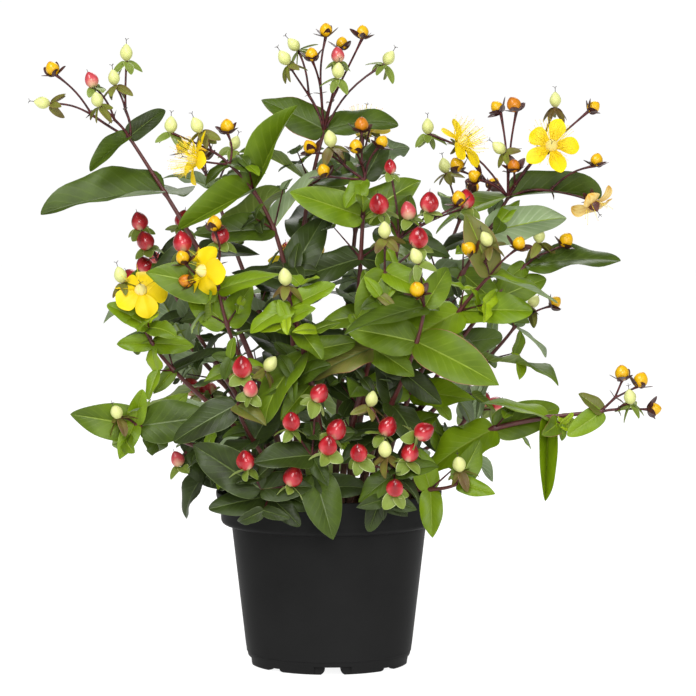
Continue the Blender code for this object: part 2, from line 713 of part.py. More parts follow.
def stalked_bmesh(root, seat, facing, form, length, width, grow=0.0):
    """A bud or fruit with its stalk, as one turned body: a sphere whose rings are moved.

    Its first ring ends the stalk in the stem, the second is where the stalk meets the fruit,
    and the others are the fruit's belly.
    """
    stalk = seat - root
    along = stalk.normalized()
    stations = [
        (root - along * grow, along, 0),
        (root - along * grow, along, STALK_ROOT_R + grow),
        (seat, (along + facing).normalized(), STALK_R + grow),
    ]
    for up_share, across_share in PROFILES[form]:
        place = seat + facing * length * up_share
        stations.append((place, facing, width / 2 * across_share + grow))
    stations.append((seat + facing * (length + grow), facing, 0))
    bands = len(stations) - 1
    bm = bmesh.new()
    bmesh.ops.create_uvsphere(bm, u_segments=FRUIT_SIDES, v_segments=bands, radius=1)
    for vert in bm.verts:
        latitude = math.acos(max(-1, min(1, -vert.co.z))) / math.pi
        place, direction, radius = stations[round(latitude * bands)]
        bearing = math.atan2(vert.co.y, vert.co.x)
        ring = Vector((math.cos(bearing), math.sin(bearing), 0)) * radius
        vert.co = place + axes_for(direction) @ ring
    bmesh.ops.recalc_face_normals(bm, faces=bm.faces)
    return bm


def ovary_bmesh(root, seat, facing, grow=0.0):
    """The green middle of a flower, on the flower's stalk."""
    return stalked_bmesh(root, seat, facing, "bud", OVARY_R * 2.2, OVARY_R * 2, grow)


# Keeping apart


def solid_of(owner, bm):
    low = Vector(map(min, zip(*(v.co for v in bm.verts))))
    high = Vector(map(max, zip(*(v.co for v in bm.verts))))
    return Solid(owner, BVHTree.FromBMesh(bm), (low + high) / 2, (high - low).length / 2)


def solid_of_object(owner, obj):
    bpy.context.view_layer.update()
    graph = bpy.context.evaluated_depsgraph_get()
    mesh = bpy.data.meshes.new_from_object(obj.evaluated_get(graph))
    bm = bmesh.new()
    bm.from_mesh(mesh)
    made = solid_of(owner, bm)
    bm.free()
    bpy.data.meshes.remove(mesh)
    return made


def is_clear(bm, owner, solids):
    """Whether a shape, already grown by the clearance, meets no solid of another piece."""
    test = solid_of(owner, bm)
    return not any(
        solid.owner != owner
        and (solid.centre - test.centre).length < solid.radius + test.radius
        and solid.tree.overlap(test.tree)
        for solid in solids
    )


# Growing


def picture_direction(bearing, tilt):
    """A direction from its bearing in the photo and its tilt towards the viewer, in degrees."""
    flat, near = math.radians(bearing), math.radians(tilt)
    return Vector(
        (math.cos(flat) * math.cos(near), -math.sin(near), math.sin(flat) * math.cos(near))
    )


def aimed_blade(blade, node, bearing, tilt, length, face):
    """The leaf with the direction, length and face that it has in the photo."""
    along = picture_direction(bearing, tilt)
    facing = picture_direction(90, 90 - face)
    return blade._replace(
        root=node - along * 0.0004,
        along=along,
        normal=(facing - along * facing.dot(along)).normalized(),
        length=length,
        width=length * LEAF_WIDTH,
        thickness=length * LEAF_THICKNESS,
        droop=LEAF_DROOP * AIMED_DROOP,
    )


def leaf_blade(node, stem, turn, length, rng):
    """A leaf that leaves the stem at a turn round it and arches towards the ground."""
    across = stem.cross(UP)
    if across.length < 0.05:
        across = Vector((1, 0, 0))
    across.normalize()
    beside = across.cross(stem).normalized()
    out = across * math.cos(turn) + beside * math.sin(turn)
    opened = LEAF_OPEN + rng.uniform(-0.16, 0.16)
    along = (stem * math.cos(opened) + out * math.sin(opened) - UP * LEAF_SAG).normalized()
    outward = Vector((node.x, node.y, 0)) / CROWN_R
    facing = stem * 0.5 + LIGHT + outward * 0.5
    normal = (facing - along * facing.dot(along)).normalized()
    roll = Matrix.Rotation(rng.uniform(-0.35, 0.35), 3, along)
    return Blade(
        root=node - out * 0.0004 + stem * rng.uniform(-0.0004, 0.0004),
        along=along,
        normal=roll @ normal,
        length=length * rng.uniform(0.90, 1.08),
        width=length * LEAF_WIDTH * rng.uniform(0.90, 1.12),
        thickness=length * LEAF_THICKNESS,
        droop=LEAF_DROOP * rng.uniform(0.5, 1.6),
        fold=LEAF_FOLD * rng.uniform(0.6, 1.4),
        rings=LEAF_RINGS,
    )


def eased(blade, step):
    """The same leaf moved a little, for when it meets another piece."""
    tilt = (0, 0.22, -0.22, 0.42, -0.42, 0)[step]
    swing = (0, 0.15, -0.15, -0.3, 0.3, 0)[step]
    side = blade.along.cross(blade.normal)
    turn = Matrix.Rotation(tilt, 3, side) @ Matrix.Rotation(swing, 3, blade.normal)
    shorter = 1 - 0.05 * step
    return blade._replace(
        along=turn @ blade.along,
        normal=turn @ blade.normal,
        length=blade.length * shorter,
        width=blade.width * shorter,
    )


def place_leaf(blade, owner, solids):
    """The first easing of the leaf that is clear of the other pieces, or None."""
    for step in range(EASINGS):
        tried = eased(blade, step)
        test = blade_bmesh(tried, ovate, CLEARANCE)
        clear = is_clear(test, owner, solids)
        test.free()
        if clear:
            return tried
    return None


def leaf_nodes(shoot, path, start):
    """Each leaf pair's place, stem direction, turn and length, from the lowest up."""
    pairs = shoot["pairs"]
    first = start + (0.10 if shoot["bare"] else 0.30) * (1 - start)
    for i in range(pairs):
        share = i / (pairs - 1)
        place, stem = along_path(path, first + (1 - first) * share ** shoot["crowd"])
        size = LOWEST_LEAF + (1 - LOWEST_LEAF) * min(1, 2 * share)
        if i == pairs - 1:
            size = TOP_LEAF
        turn = math.radians(shoot["spin"] + 90 * (pairs - 1 - i))
        yield place, stem, turn, shoot["leaf"] * size


def seen_arms(shoot, fork, stem):
    """The same as truss_arms gives, for a truss that the photo shows."""
    root = fork - stem * STALK_SINK
    for letter, bearing, tilt, reach, *faced in shoot["arms"]:
        direction = picture_direction(bearing, tilt)
        out = direction - stem * direction.dot(stem)
        facing = picture_direction(*faced) if faced else direction * 0.5 + ARM_RISE
        yield letter, root + out * FORK_STEM_R * 0.6, fork + direction * reach, facing.normalized()


def truss_arms(shoot, fork, stem, rng):
    """Each truss item's letter, the root and seat of its stalk, and the way it faces."""
    letters = shoot["truss"]
    reach = shoot["reach"]
    across = stem.cross(UP)
    if across.length < 0.05:
        across = Vector((1, 0, 0))
    across.normalize()
    beside = across.cross(stem).normalized()
    root = fork - stem * STALK_SINK
    arms = [(letters[0], root, fork + stem * reach * 0.62, stem)]
    spread = math.radians(shoot["turn"])
    for i, letter in enumerate(letters[1:]):
        turn = spread + 2 * math.pi * i / max(1, len(letters) - 1) + rng.uniform(-0.2, 0.2)
        out = across * math.cos(turn) + beside * math.sin(turn)
        lean = math.radians(STEEP_ARM if i % 2 else shoot["wide"]) + rng.uniform(-0.1, 0.1)
        direction = stem * math.cos(lean) + out * math.sin(lean)
        end = fork + direction * reach * rng.uniform(0.82, 1.0)
        facing = (direction + LIGHT * 0.6).normalized()
        arms.append((letter, root + out * FORK_STEM_R * 0.6, end, facing))
    return arms


def truss_bmeshes(letter, root, seat, facing, grow=0.0):
    """The solids of one bud, fruit or flower, with the kind of material each takes."""
    item = TRUSS[letter]
    form = item["form"]
    if form != "flower":
        size = (item["length"], item["width"])
        return [(form, stalked_bmesh(root, seat, facing, form, *size, grow))]
    made = [("capsule", ovary_bmesh(root, seat, facing, grow))]
    turn = axes_for(facing)
    for i in range(5):
        bearing = 2 * math.pi * i / 5
        out = turn @ Vector((math.cos(bearing), math.sin(bearing), 0))
        petal = Blade(
            root=seat + facing * OVARY_R * 0.8,
            along=(out + facing * 0.35).normalized(),
            normal=(facing - out * 0.35).normalized(),
            length=item["length"],
            width=item["width"],
            thickness=item["length"] * 0.05,
            droop=0.35,
            fold=-0.12,
            rings=PETAL_RINGS,
        )
        made.append(("flower", blade_bmesh(petal, obovate, grow)))
    return made


def add_operand(bm, material, operands, solids, owner):
    mesh = bpy.data.meshes.new("operand")
    bm.to_mesh(mesh)
    mesh.materials.append(material)
    operands.objects.link(bpy.data.objects.new("operand", mesh))
    solids.append(solid_of(owner, bm))
    bm.free()


def keep_outer_shell(mesh):
    """Drops loose scraps and the inner walls of sealed hollows, leaving the largest shell."""
    bm = bmesh.new()
    bm.from_mesh(mesh)
    shells = []
    waiting = set(bm.verts)
    while waiting:
        shell = {waiting.pop()}
        front = list(shell)
        while front:
            vert = front.pop()
            near = {edge.other_vert(vert) for edge in vert.link_edges} - shell
            shell |= near
            front.extend(near)
        waiting -= shell
        shells.append(shell)
    largest = max(shells, key=len)
    loose = [vert for shell in shells if shell is not largest for vert in shell]
    bmesh.ops.delete(bm, geom=loose, context="VERTS")
    closed = all(edge.is_manifold for edge in bm.edges)
    bm.to_mesh(mesh)
    bm.free()
    return closed


def fuse(base, operands):
    """One union of the base with everything in the collection, which is then removed."""
    union = base.modifiers.new("Fuse", "BOOLEAN")
    union.operation = "UNION"
    union.operand_type = "COLLECTION"
    union.collection = operands
    union.material_mode = "TRANSFER"
    for solver in ("EXACT", "MANIFOLD"):
        union.solver = solver
        bpy.context.view_layer.update()
        graph = bpy.context.evaluated_depsgraph_get()
        mesh = bpy.data.meshes.new_from_object(base.evaluated_get(graph))
        if keep_outer_shell(mesh):
            break
        print(base.name, "did not close with", solver)
    base.modifiers.clear()
    base.data = mesh
    for obj in list(operands.objects):
        bpy.data.objects.remove(obj)
    bpy.data.collections.remove(operands)


def grow_truss(name, shoot, path, owner, materials, operands, solids):
    """The truss at the fork: each bud, fruit or flower that is clear of the other pieces."""
    rng = random.Random(name + " truss")
    fork, stem = along_path(path, 1)
    arms = seen_arms(shoot, fork, stem) if "arms" in shoot else truss_arms(shoot, fork, stem, rng)
    for letter, root, seat, facing in arms:
        tests = [bm for _, bm in truss_bmeshes(letter, root, seat, facing, CLEARANCE)]
        clear = all([is_clear(bm, owner, solids) for bm in tests])
        for bm in tests:
            bm.free()
        if clear:
            for kind, bm in truss_bmeshes(letter, root, seat, facing):
                add_operand(bm, materials[kind], operands, solids, owner)


def wanted_leaves(name, shoot, path):
    """Leaves in opposite pairs, each pair turned a quarter from the last, from the lowest up.

    Each comes with whether the photo aims it.
    """
    rng = random.Random(name + " leaves")
    aims = shoot.get("aims", ())
    nodes = leaf_nodes(shoot, path, shoot["bare"])
    for i, (place, stem, turn, length) in enumerate(nodes):
        for side in (0, 1):
            blade = leaf_blade(place, stem, turn + math.pi * side, length, rng)
            order = 2 * (shoot["pairs"] - 1 - i) + side
            if order < len(aims):
                yield aimed_blade(blade, place, *aims[order]), True
            else:
                yield blade, False


def grow_seen_leaves(name, shoot, path, owner, materials, operands, solids):
    for wanted, seen in wanted_leaves(name, shoot, path):
        if seen:
            add_leaf(wanted, owner, materials, operands, solids)


def grow_other_leaves(name, shoot, path, owner, materials, operands, solids):
    for wanted, seen in wanted_leaves(name, shoot, path):
        if not seen:
            add_leaf(wanted, owner, materials, operands, solids)


def add_leaf(wanted, owner, materials, operands, solids):
    blade = place_leaf(wanted, owner, solids)
    if blade:
        leaf = blade_bmesh(blade, ovate)
        add_operand(leaf, materials["leaf"], operands, solids, owner)


def make_stems(name, shoot, path, materials, collection, solids):
    """The shoot's bare stem, if it has one, and the leafy part's own stem above it."""
    bare = shoot["bare"]
    if bare:
        points, radii = stretch(shoot, path, 0, bare, BOUGH_POINTS)
        bough = tube(
            f"stem_{name}", points, radii, BOUGH_SIDES, materials["stem"], collection
        )
        solids.append(solid_of_object(bough.name, bough))
    start = bare + GAP / path_length(path) if bare else 0
    count = LEAFY_POINTS if bare else LOW_POINTS
    points, radii = stretch(shoot, path, start, 1, count)
    leafy = tube(
        f"foliage_{name}", points, radii, LEAFY_SIDES, materials["stem"], collection
    )
    leafy = as_mesh(leafy, collection)
    solids.append(solid_of_object(leafy.name, leafy))
    return leafy


def main():
    clear_scene()
    materials = make_materials()
    collection = new_collection("potted_tutsan")
    cutters = new_collection("cutters")
    pot = make_pot(materials["pot"], collection, cutters)
    soil = make_soil(materials["soil"], collection)
    solids = [solid_of_object(obj.name, obj) for obj in (pot, soil)]
    paths = {name: stem_path(shoot) for name, shoot in SHOOTS.items()}
    leafy = {
        name: make_stems(name, shoot, paths[name], materials, collection, solids)
        for name, shoot in SHOOTS.items()
    }
    operands = {name: new_collection(f"operands_{name}") for name in SHOOTS}
    for grow in (grow_truss, grow_seen_leaves, grow_other_leaves):
        for name, shoot in SHOOTS.items():
            owner = leafy[name].name
            grow(name, shoot, paths[name], owner, materials, operands[name], solids)
    for name in SHOOTS:
        fuse(leafy[name], operands[name])


main()
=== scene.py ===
import math
import random
from collections import namedtuple

import bmesh
import bpy
import numpy as np
from mathutils import Matrix, Vector
from mathutils.bvhtree import BVHTree
from mathutils.geometry import interpolate_bezier


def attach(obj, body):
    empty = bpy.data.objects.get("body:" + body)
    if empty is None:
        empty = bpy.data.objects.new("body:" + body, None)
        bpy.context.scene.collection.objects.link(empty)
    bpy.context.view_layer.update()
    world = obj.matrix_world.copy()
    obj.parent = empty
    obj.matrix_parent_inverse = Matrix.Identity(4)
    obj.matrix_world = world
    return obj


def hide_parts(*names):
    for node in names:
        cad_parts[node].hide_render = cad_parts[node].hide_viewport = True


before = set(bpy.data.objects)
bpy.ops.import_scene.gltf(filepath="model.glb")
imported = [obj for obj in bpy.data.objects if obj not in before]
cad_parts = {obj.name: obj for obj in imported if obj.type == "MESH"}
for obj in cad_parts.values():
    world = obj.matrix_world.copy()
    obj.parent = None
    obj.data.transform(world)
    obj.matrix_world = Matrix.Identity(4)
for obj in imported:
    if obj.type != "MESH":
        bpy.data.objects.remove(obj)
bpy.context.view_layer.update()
print("frame loaded:", len(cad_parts), "nodes")

# Potted tutsan in a black nursery pot. The shoots grow by the same rule as the solids, so each
# leaf and fruit lies where its solid is, and finer twigs grow on from them.
up = Vector((0, 0, 1))


# Shoots, as the source has them. A user changes the plant's habit here.
# foot, fork, lean at the fork, bare share, pairs of leaves, their crowding to the tip (a low
# number crowds them), longest leaf, turn of the top pair, tone of the leaves and the side of
# the crown that it belongs to.
# aims are leaves that the photograph shows, from the tip down: bearing, tilt to the viewer,
# length, the turn of its face from the viewer to the sky, and tone.
# arms are truss items that it shows: letter, bearing, tilt and reach, then the way it faces.
# Other trusses have letters, the turn of the first arm, the spread of wide arms and reach.
shoots = {
    "far_left": {
        "foot": (-0.026, 0.006), "fork": (-0.132, 0.005, 0.349), "lean": 33, "bare": 0.24,
        "pairs": 5, "crowd": 0.95, "leaf": 0.070, "spin": 10, "tone": "dark", "side": "left",
        "aims": (
            (40, -5, 0.032, 15, "dark"), (215, 25, 0.036, 50, "deep"),
            (182, 8, 0.084, 66, "deep"), (30, -72, 0.055, 30, "deep"),
            (205, 10, 0.042, 40, "dark"), (0, -10, 0.042, 40, "dark"),
            (188, 5, 0.036, 15, "dark"), (330, 0, 0.034, 30, "dark"),
        ),
        "arms": (
            ("B", 140, 0, 0.063), ("C", 157, 5, 0.056, 172, 10), ("C", 134, 25, 0.030, 100, 25),
            ("P", 124, 10, 0.040, 113, 10), ("C", 105, 5, 0.035, 97, 5),
            ("C", 92, -5, 0.050, 90, 5),
        ),
    },
    "left_flowering": {
        "foot": (-0.016, -0.010), "fork": (-0.065, -0.030, 0.332), "lean": 50, "bare": 0.26,
        "pairs": 5, "crowd": 0.60, "leaf": 0.062, "spin": 70, "tone": "mid", "side": "left",
        "aims": (
            (215, 10, 0.022, 60, "deep"), (355, 10, 0.026, 60, "deep"),
            (203, 25, 0.058, 50, "mid"), (68, 8, 0.064, 55, "mid"), (180, 15, 0.054, 38, "deep"),
            (57, 12, 0.060, 128, "mid"), (62, -8, 0.050, 20, "dark"), (165, 0, 0.034, 30, "dark"),
        ),
        "arms": (
            ("B", 92, 0, 0.019), ("C", 133, 10, 0.027, 112, 10), ("F", 176, 15, 0.018, 165, 15),
            ("C", 153, 0, 0.042, 88, 5),
        ),
    },
    "top_centre": {
        "foot": (-0.029, 0.015), "fork": (-0.003, 0.015, 0.354), "lean": 16, "bare": 0.32,
        "pairs": 5, "crowd": 1.0, "leaf": 0.058, "spin": 10, "tone": "deep", "side": "centre",
        "aims": ((152, 10, 0.047, 18, "deep"), (15, 5, 0.051, 55, "deep")),
        "arms": (
            ("B", 89, 0, 0.061), ("B", 100, 15, 0.047, 95, 10), ("C", 108, -10, 0.056, 132, 5),
            ("C", 119, 8, 0.049, 122, 5), ("B", 78, -15, 0.056, 85, 0),
            ("P", 78, 14, 0.046, 95, 5), ("C", 75, 26, 0.038, 85, 15), ("B", 67, 4, 0.065, 90, 0),
            ("C", 47, -6, 0.059, 58, 0),
        ),
    },
    "centre_buds": {
        "foot": (0.014, -0.003), "fork": (0.0236, -0.025, 0.322), "lean": 6, "bare": 0.30,
        "pairs": 5, "crowd": 0.70, "leaf": 0.058, "spin": 30, "tone": "mid", "side": "centre",
        "aims": (
            (232, 30, 0.025, 30, "fresh"), (62, -20, 0.034, 0, "dark"),
            (160, 12, 0.051, 12, "fresh"), (36, 5, 0.047, 20, "mid"),
            (195, -10, 0.046, 40, "dark"), (350, -10, 0.046, 40, "dark"),
        ),
        "arms": (
            ("B", 94, 0, 0.030, 90, 10), ("B", 108, 25, 0.019, 95, 20),
            ("B", 66, 5, 0.022, 60, 10), ("B", 178, 15, 0.026, 110, 15),
            ("B", 154, 0, 0.037, 120, 5), ("C", 137, 12, 0.030, 100, 10),
        ),
    },
    "centre_red": {
        "foot": (0.014, -0.018), "fork": (0.046, -0.050, 0.284), "lean": 14, "bare": 0.28,
        "pairs": 5, "crowd": 0.85, "leaf": 0.054, "spin": 50, "tone": "mid", "side": "centre",
        "aims": ((75, -25, 0.034, 10, "deep"), (345, 0, 0.036, 40, "dark")),
        "arms": (
            ("R", 128, 15, 0.021, 98, 25), ("S", 98, -8, 0.042, 92, 5),
            ("R", 41, 5, 0.025, 88, 5), ("P", 62, 18, 0.014, 100, 5),
            ("B", 28, 0, 0.044, 100, 10), ("R", 23, -20, 0.050, 90, 0),
        ),
    },
    "right_flowering": {
        "foot": (0.026, 0.004), "fork": (0.119, 0.000, 0.310), "lean": 30, "bare": 0.24,
        "pairs": 5, "crowd": 0.70, "leaf": 0.064, "spin": 70, "tone": "deep", "side": "right",
        "aims": (
            (193, 15, 0.057, 72, "mid"), (8, -8, 0.066, 50, "deep"), (192, 0, 0.038, 60, "dark"),
            (16, 5, 0.056, 160, "mid"), (215, 0, 0.040, 30, "deep"), (320, 0, 0.040, 20, "mid"),
        ),
        "arms": (
            ("B", 95, -10, 0.056, 128, 0), ("B", 85, 5, 0.056, 115, 10),
            ("C", 62, -10, 0.067, 90, 0), ("B", 47, 0, 0.076, 40, 5),
            ("F", 50, 18, 0.044, 95, 72), ("B", 80, 30, 0.019, 95, 30),
            ("C", 96, 8, 0.029, 140, 10), ("F", 137, 10, 0.049, 40, 22),
            ("B", 153, 5, 0.036, 120, 10), ("B", 152, 25, 0.025, 140, 20),
            ("C", 143, -10, 0.068, 90, 0), ("W", 358, 12, 0.054, 300, 25),
            ("B", 19, 5, 0.060, 80, 0),
        ),
    },
    "right_mid": {
        "foot": (0.032, -0.016), "fork": (0.104, -0.052, 0.260), "lean": 45, "bare": 0.20,
        "pairs": 5, "crowd": 1.0, "leaf": 0.054, "spin": 10, "tone": "fresh", "side": "right",
        "aims": (
            (107, 10, 0.044, 55, "bronze"), (346, 5, 0.048, 78, "fresh"),
            (206, 18, 0.064, 55, "fresh"), (5, 15, 0.048, 35, "fresh"),
            (345, 8, 0.036, 25, "fresh"), (190, 5, 0.042, 35, "deep"),
            (151, 18, 0.045, 15, "fresh"), (357, 28, 0.045, 20, "fresh"),
        ),
        "arms": (
            ("C", 90, 8, 0.019, 118, 10), ("B", 125, 12, 0.018, 140, 15),
            ("B", 44, 5, 0.024, 70, 10),
        ),
    },
    "right_side": {
        "foot": (0.040, -0.002), "fork": (0.131, 0.012, 0.264), "lean": 46, "bare": 0.26,
        "pairs": 4, "crowd": 0.75, "leaf": 0.056, "spin": 80, "tone": "mid", "side": "right",
        "aims": (
            (10, 5, 0.064, 58, "deep"), (215, 20, 0.021, 15, "mid"), (25, 5, 0.040, 20, "mid"),
            (330, 0, 0.030, 20, "deep"), (10, -5, 0.034, 15, "deep"), (215, 0, 0.034, 30, "deep"),
            (305, 0, 0.034, 15, "dark"), (180, 0, 0.034, 30, "dark"),
        ),
        "arms": (("C", 58, 8, 0.017, 95, 5), ("B", 27, 4, 0.027, 60, 10)),
    },
    "far_right_low": {
        "foot": (0.050, -0.012), "fork": (0.179, -0.030, 0.170), "lean": 84, "bare": 0.20,
        "pairs": 4, "crowd": 0.95, "leaf": 0.050, "spin": 40, "tone": "fresh", "side": "right",
        "aims": (
            (212, 18, 0.029, 12, "fresh"), (140, 5, 0.020, 30, "bronze"),
            (158, 12, 0.047, 68, "fresh"), (267, 12, 0.057, 66, "fresh"),
            (204, 22, 0.055, 42, "fresh"), (18, -8, 0.050, 12, "mid"),
        ),
        "arms": (
            ("B", 57, 0, 0.024, 95, 5), ("B", 35, 5, 0.028, 70, 5), ("C", 16, 20, 0.020, 100, 20),
            ("B", 3, 5, 0.029, 5, 10),
        ),
    },
    "lower_left": {
        "foot": (-0.046, -0.024), "fork": (-0.124, -0.072, 0.166), "lean": 66, "bare": 0.20,
        "pairs": 4, "crowd": 0.13, "leaf": 0.046, "spin": 90, "tone": "fresh", "side": "left",
        "aims": (
            (76, 25, 0.025, 10, "fresh"), (246, 28, 0.026, 15, "fresh"),
            (168, 15, 0.046, 10, "mid"), (10, 12, 0.050, 18, "deep"), (44, -10, 0.036, 20, "mid"),
            (300, -40, 0.030, 30, "deep"),
        ),
        "arms": (("C", 153, 40, 0.013, 112, 35),),
    },
    "left_flower": {
        "foot": (-0.034, -0.012), "fork": (-0.122, -0.038, 0.230), "lean": 22, "bare": 0.24,
        "pairs": 4, "crowd": 0.42, "leaf": 0.036, "spin": 75, "tone": "fresh", "side": "left",
        "aims": (
            (150, 20, 0.025, 20, "fresh"), (48, -12, 0.020, 10, "fresh"),
            (178, 15, 0.024, 15, "fresh"), (0, 22, 0.029, 22, "fresh"),
            (226, 22, 0.021, 25, "mid"), (28, 0, 0.040, 74, "dark"), (205, 0, 0.033, 68, "dark"),
            (20, -10, 0.030, 15, "dark"),
        ),
        "arms": (("F", 88, 12, 0.018, 88, 52), ("C", 115, 5, 0.027, 106, 5)),
    },
    "left_middle": {
        "foot": (-0.024, -0.026), "fork": (-0.070, -0.070, 0.252), "lean": 12, "bare": 0.26,
        "pairs": 4, "crowd": 0.62, "leaf": 0.046, "spin": 60, "tone": "fresh", "side": "left",
        "aims": (
            (163, 15, 0.049, 18, "mid"), (20, 8, 0.042, 48, "fresh"),
            (140, -5, 0.036, 2, "fresh"), (58, -18, 0.034, 2, "fresh"),
            (200, 12, 0.028, 48, "mid"), (335, 28, 0.026, 40, "fresh"),
        ),
        "arms": (
            ("F", 120, 20, 0.015, 178, 48), ("B", 162, 20, 0.018, 172, 20),
            ("R", 134, -10, 0.033, 97, 5), ("B", 142, 12, 0.027, 112, 15),
            ("R", 88, -20, 0.030, 92, 0), ("B", 94, -4, 0.037, 90, 5),
        ),
    },
    "left_red": {
        "foot": (-0.036, 0.010), "fork": (-0.112, 0.040, 0.260), "lean": 24, "bare": 0.26,
        "pairs": 4, "crowd": 0.9, "leaf": 0.048, "spin": 20, "tone": "dark", "side": "left",
        "aims": ((60, 0, 0.030, 10, "dark"), (200, 5, 0.030, 30, "mid")),
        "arms": (
            ("R", 118, 5, 0.030, 105, 5), ("R", 125, 22, 0.018, 108, 20),
            ("R", 200, -20, 0.012, 110, 0), ("R", 65, 0, 0.030, 80, 0),
        ),
    },
    "centre_capsule_left": {
        "foot": (0.000, -0.034), "fork": (-0.0225, -0.098, 0.243), "lean": 36, "bare": 0.22,
        "pairs": 5, "crowd": 0.62, "leaf": 0.044, "spin": 10, "tone": "fresh", "side": "centre",
        "aims": (
            (203, 18, 0.033, 42, "fresh"), (30, 8, 0.031, 48, "fresh"),
            (312, 42, 0.030, 22, "mid"), (165, 8, 0.026, 20, "fresh"),
            (227, 20, 0.054, 84, "mid"), (14, 10, 0.034, 15, "mid"), (75, 5, 0.030, 0, "deep"),
            (228, 35, 0.034, 12, "mid"),
        ),
        "arms": (("C", 106, 5, 0.013, 98, 8),),
    },
    "centre_capsule_right": {
        "foot": (0.008, -0.036), "fork": (0.036, -0.090, 0.264), "lean": 8, "bare": 0.24,
        "pairs": 5, "crowd": 0.85, "leaf": 0.048, "spin": 40, "tone": "mid", "side": "centre",
        "aims": (
            (238, 22, 0.036, 5, "mid"), (338, 18, 0.036, 30, "fresh"),
            (112, -15, 0.030, 10, "mid"), (20, -15, 0.036, 15, "mid"),
            (200, 15, 0.046, 40, "deep"), (340, 10, 0.042, 25, "mid"),
        ),
        "arms": (("C", 90, 5, 0.021, 92, 10), ("R", 35, -8, 0.026, 88, 10)),
    },
    "centre_capsule_far": {
        "foot": (0.022, -0.032), "fork": (0.061, -0.102, 0.243), "lean": 16, "bare": 0.24,
        "pairs": 5, "crowd": 0.9, "leaf": 0.048, "spin": 0, "tone": "mid", "side": "centre",
        "aims": (
            (196, 10, 0.060, 58, "deep"), (58, -15, 0.032, 5, "mid"), (166, 12, 0.046, 20, "mid"),
            (336, 20, 0.060, 22, "mid"), (140, 18, 0.028, 2, "dark"), (322, 28, 0.032, 5, "dark"),
        ),
        "arms": (("C", 98, 5, 0.027, 112, 10), ("B", 118, 40, 0.010, 110, 30)),
    },
    "front_berries_left": {
        "foot": (-0.030, -0.042), "fork": (-0.058, -0.092, 0.180), "lean": 28, "bare": 0,
        "pairs": 3, "crowd": 1.0, "leaf": 0.044, "spin": 20, "tone": "dark", "side": "front",
        "aims": ((207, 8, 0.047, 28, "dark"), (335, 10, 0.032, 40, "deep")),
        "arms": (
            ("R", 76, 8, 0.018, 92, 10), ("P", 32, 28, 0.012, 85, 20),
            ("C", 49, -5, 0.028, 55, 5),
        ),
    },
    "front_berries_centre": {
        "foot": (-0.004, -0.053), "fork": (-0.010, -0.112, 0.150), "lean": 30, "bare": 0,
        "pairs": 3, "crowd": 0.7, "leaf": 0.044, "spin": 0, "tone": "dark", "side": "front",
        "aims": (
            (180, 12, 0.041, 32, "dark"), (300, 32, 0.024, 10, "dark"),
            (287, 20, 0.045, 15, "deep"), (312, 12, 0.026, 15, "dark"),
        ),
        "arms": (
            ("R", 87, 0, 0.034, 60, 15), ("R", 127, 12, 0.021, 92, 25),
            ("R", 40, 12, 0.017, 65, 15), ("R", 10, 45, 0.014, 85, 25),
        ),
    },
    "front_berries_low": {
        "foot": (-0.022, -0.053), "fork": (-0.042, -0.108, 0.128), "lean": 52, "bare": 0,
        "pairs": 3, "crowd": 0.6, "leaf": 0.044, "spin": 0, "tone": "dark", "side": "front",
        "aims": (
            (146, 0, 0.054, 12, "dark"), (10, 15, 0.034, 30, "dark"),
            (188, 15, 0.040, 30, "dark"), (320, 20, 0.028, 30, "dark"),
        ),
        "arms": (("R", 8, 12, 0.019, 74, 15), ("R", 126, 15, 0.016, 95, 10)),
    },
    "front_berries_right": {
        "foot": (0.016, -0.050), "fork": (0.042, -0.108, 0.138), "lean": 30, "bare": 0,
        "pairs": 3, "crowd": 0.7, "leaf": 0.042, "spin": 30, "tone": "dark", "side": "front",
        "aims": (
            (215, 10, 0.030, 25, "deep"), (15, 0, 0.030, 30, "deep"),
            (250, 15, 0.030, 10, "dark"), (312, 15, 0.024, 15, "dark"),
        ),
        "arms": (
            ("C", 119, 22, 0.013, 92, 20), ("R", 106, -6, 0.025, 66, 15),
            ("R", 158, 12, 0.024, 98, 30), ("R", 45, 5, 0.011, 72, 10),
            ("R", 62, 5, 0.027, 28, 10), ("R", 270, 30, 0.014, 90, 42),
            ("C", 111, -20, 0.046, 78, 5),
        ),
    },
    "low_right": {
        "foot": (0.038, -0.038), "fork": (0.083, -0.076, 0.128), "lean": 62, "bare": 0,
        "pairs": 3, "crowd": 1.0, "leaf": 0.034, "spin": 10, "tone": "fresh", "side": "front",
        "aims": (
            (62, -8, 0.032, 8, "mid"), (350, 25, 0.026, 28, "fresh"), (108, 5, 0.029, 8, "fresh"),
            (272, 22, 0.032, 2, "fresh"), (200, 20, 0.024, 30, "young"),
            (330, 0, 0.030, 30, "mid"),
        ),
        "arms": (("C", 80, 25, 0.009, 100, 28),),
    },
    "low_left": {
        "foot": (-0.050, 0.004), "fork": (-0.096, 0.000, 0.140), "lean": 58, "bare": 0,
        "pairs": 3, "crowd": 1.0, "leaf": 0.048, "spin": 10, "tone": "dark", "side": "left",
        "aims": ((35, -5, 0.040, 20, "dark"), (322, 15, 0.040, 20, "dark")),
        "arms": (("P", 255, 25, 0.010, 112, 10),),
    },
    "back_left_high": {
        "foot": (-0.016, 0.022), "fork": (-0.080, 0.092, 0.314), "lean": 26, "bare": 0.26,
        "pairs": 4, "crowd": 0.9, "leaf": 0.066, "spin": 0, "tone": "mid", "side": "back",
        "truss": "BCB", "turn": 45, "wide": 44, "reach": 0.034,
    },
    "back_high": {
        "foot": (0.004, 0.024), "fork": (0.022, 0.088, 0.330), "lean": 18, "bare": 0.28,
        "pairs": 4, "crowd": 0.9, "leaf": 0.066, "spin": 30, "tone": "deep", "side": "back",
        "truss": "FBC", "turn": 75, "wide": 44, "reach": 0.034,
    },
    "back_right_high": {
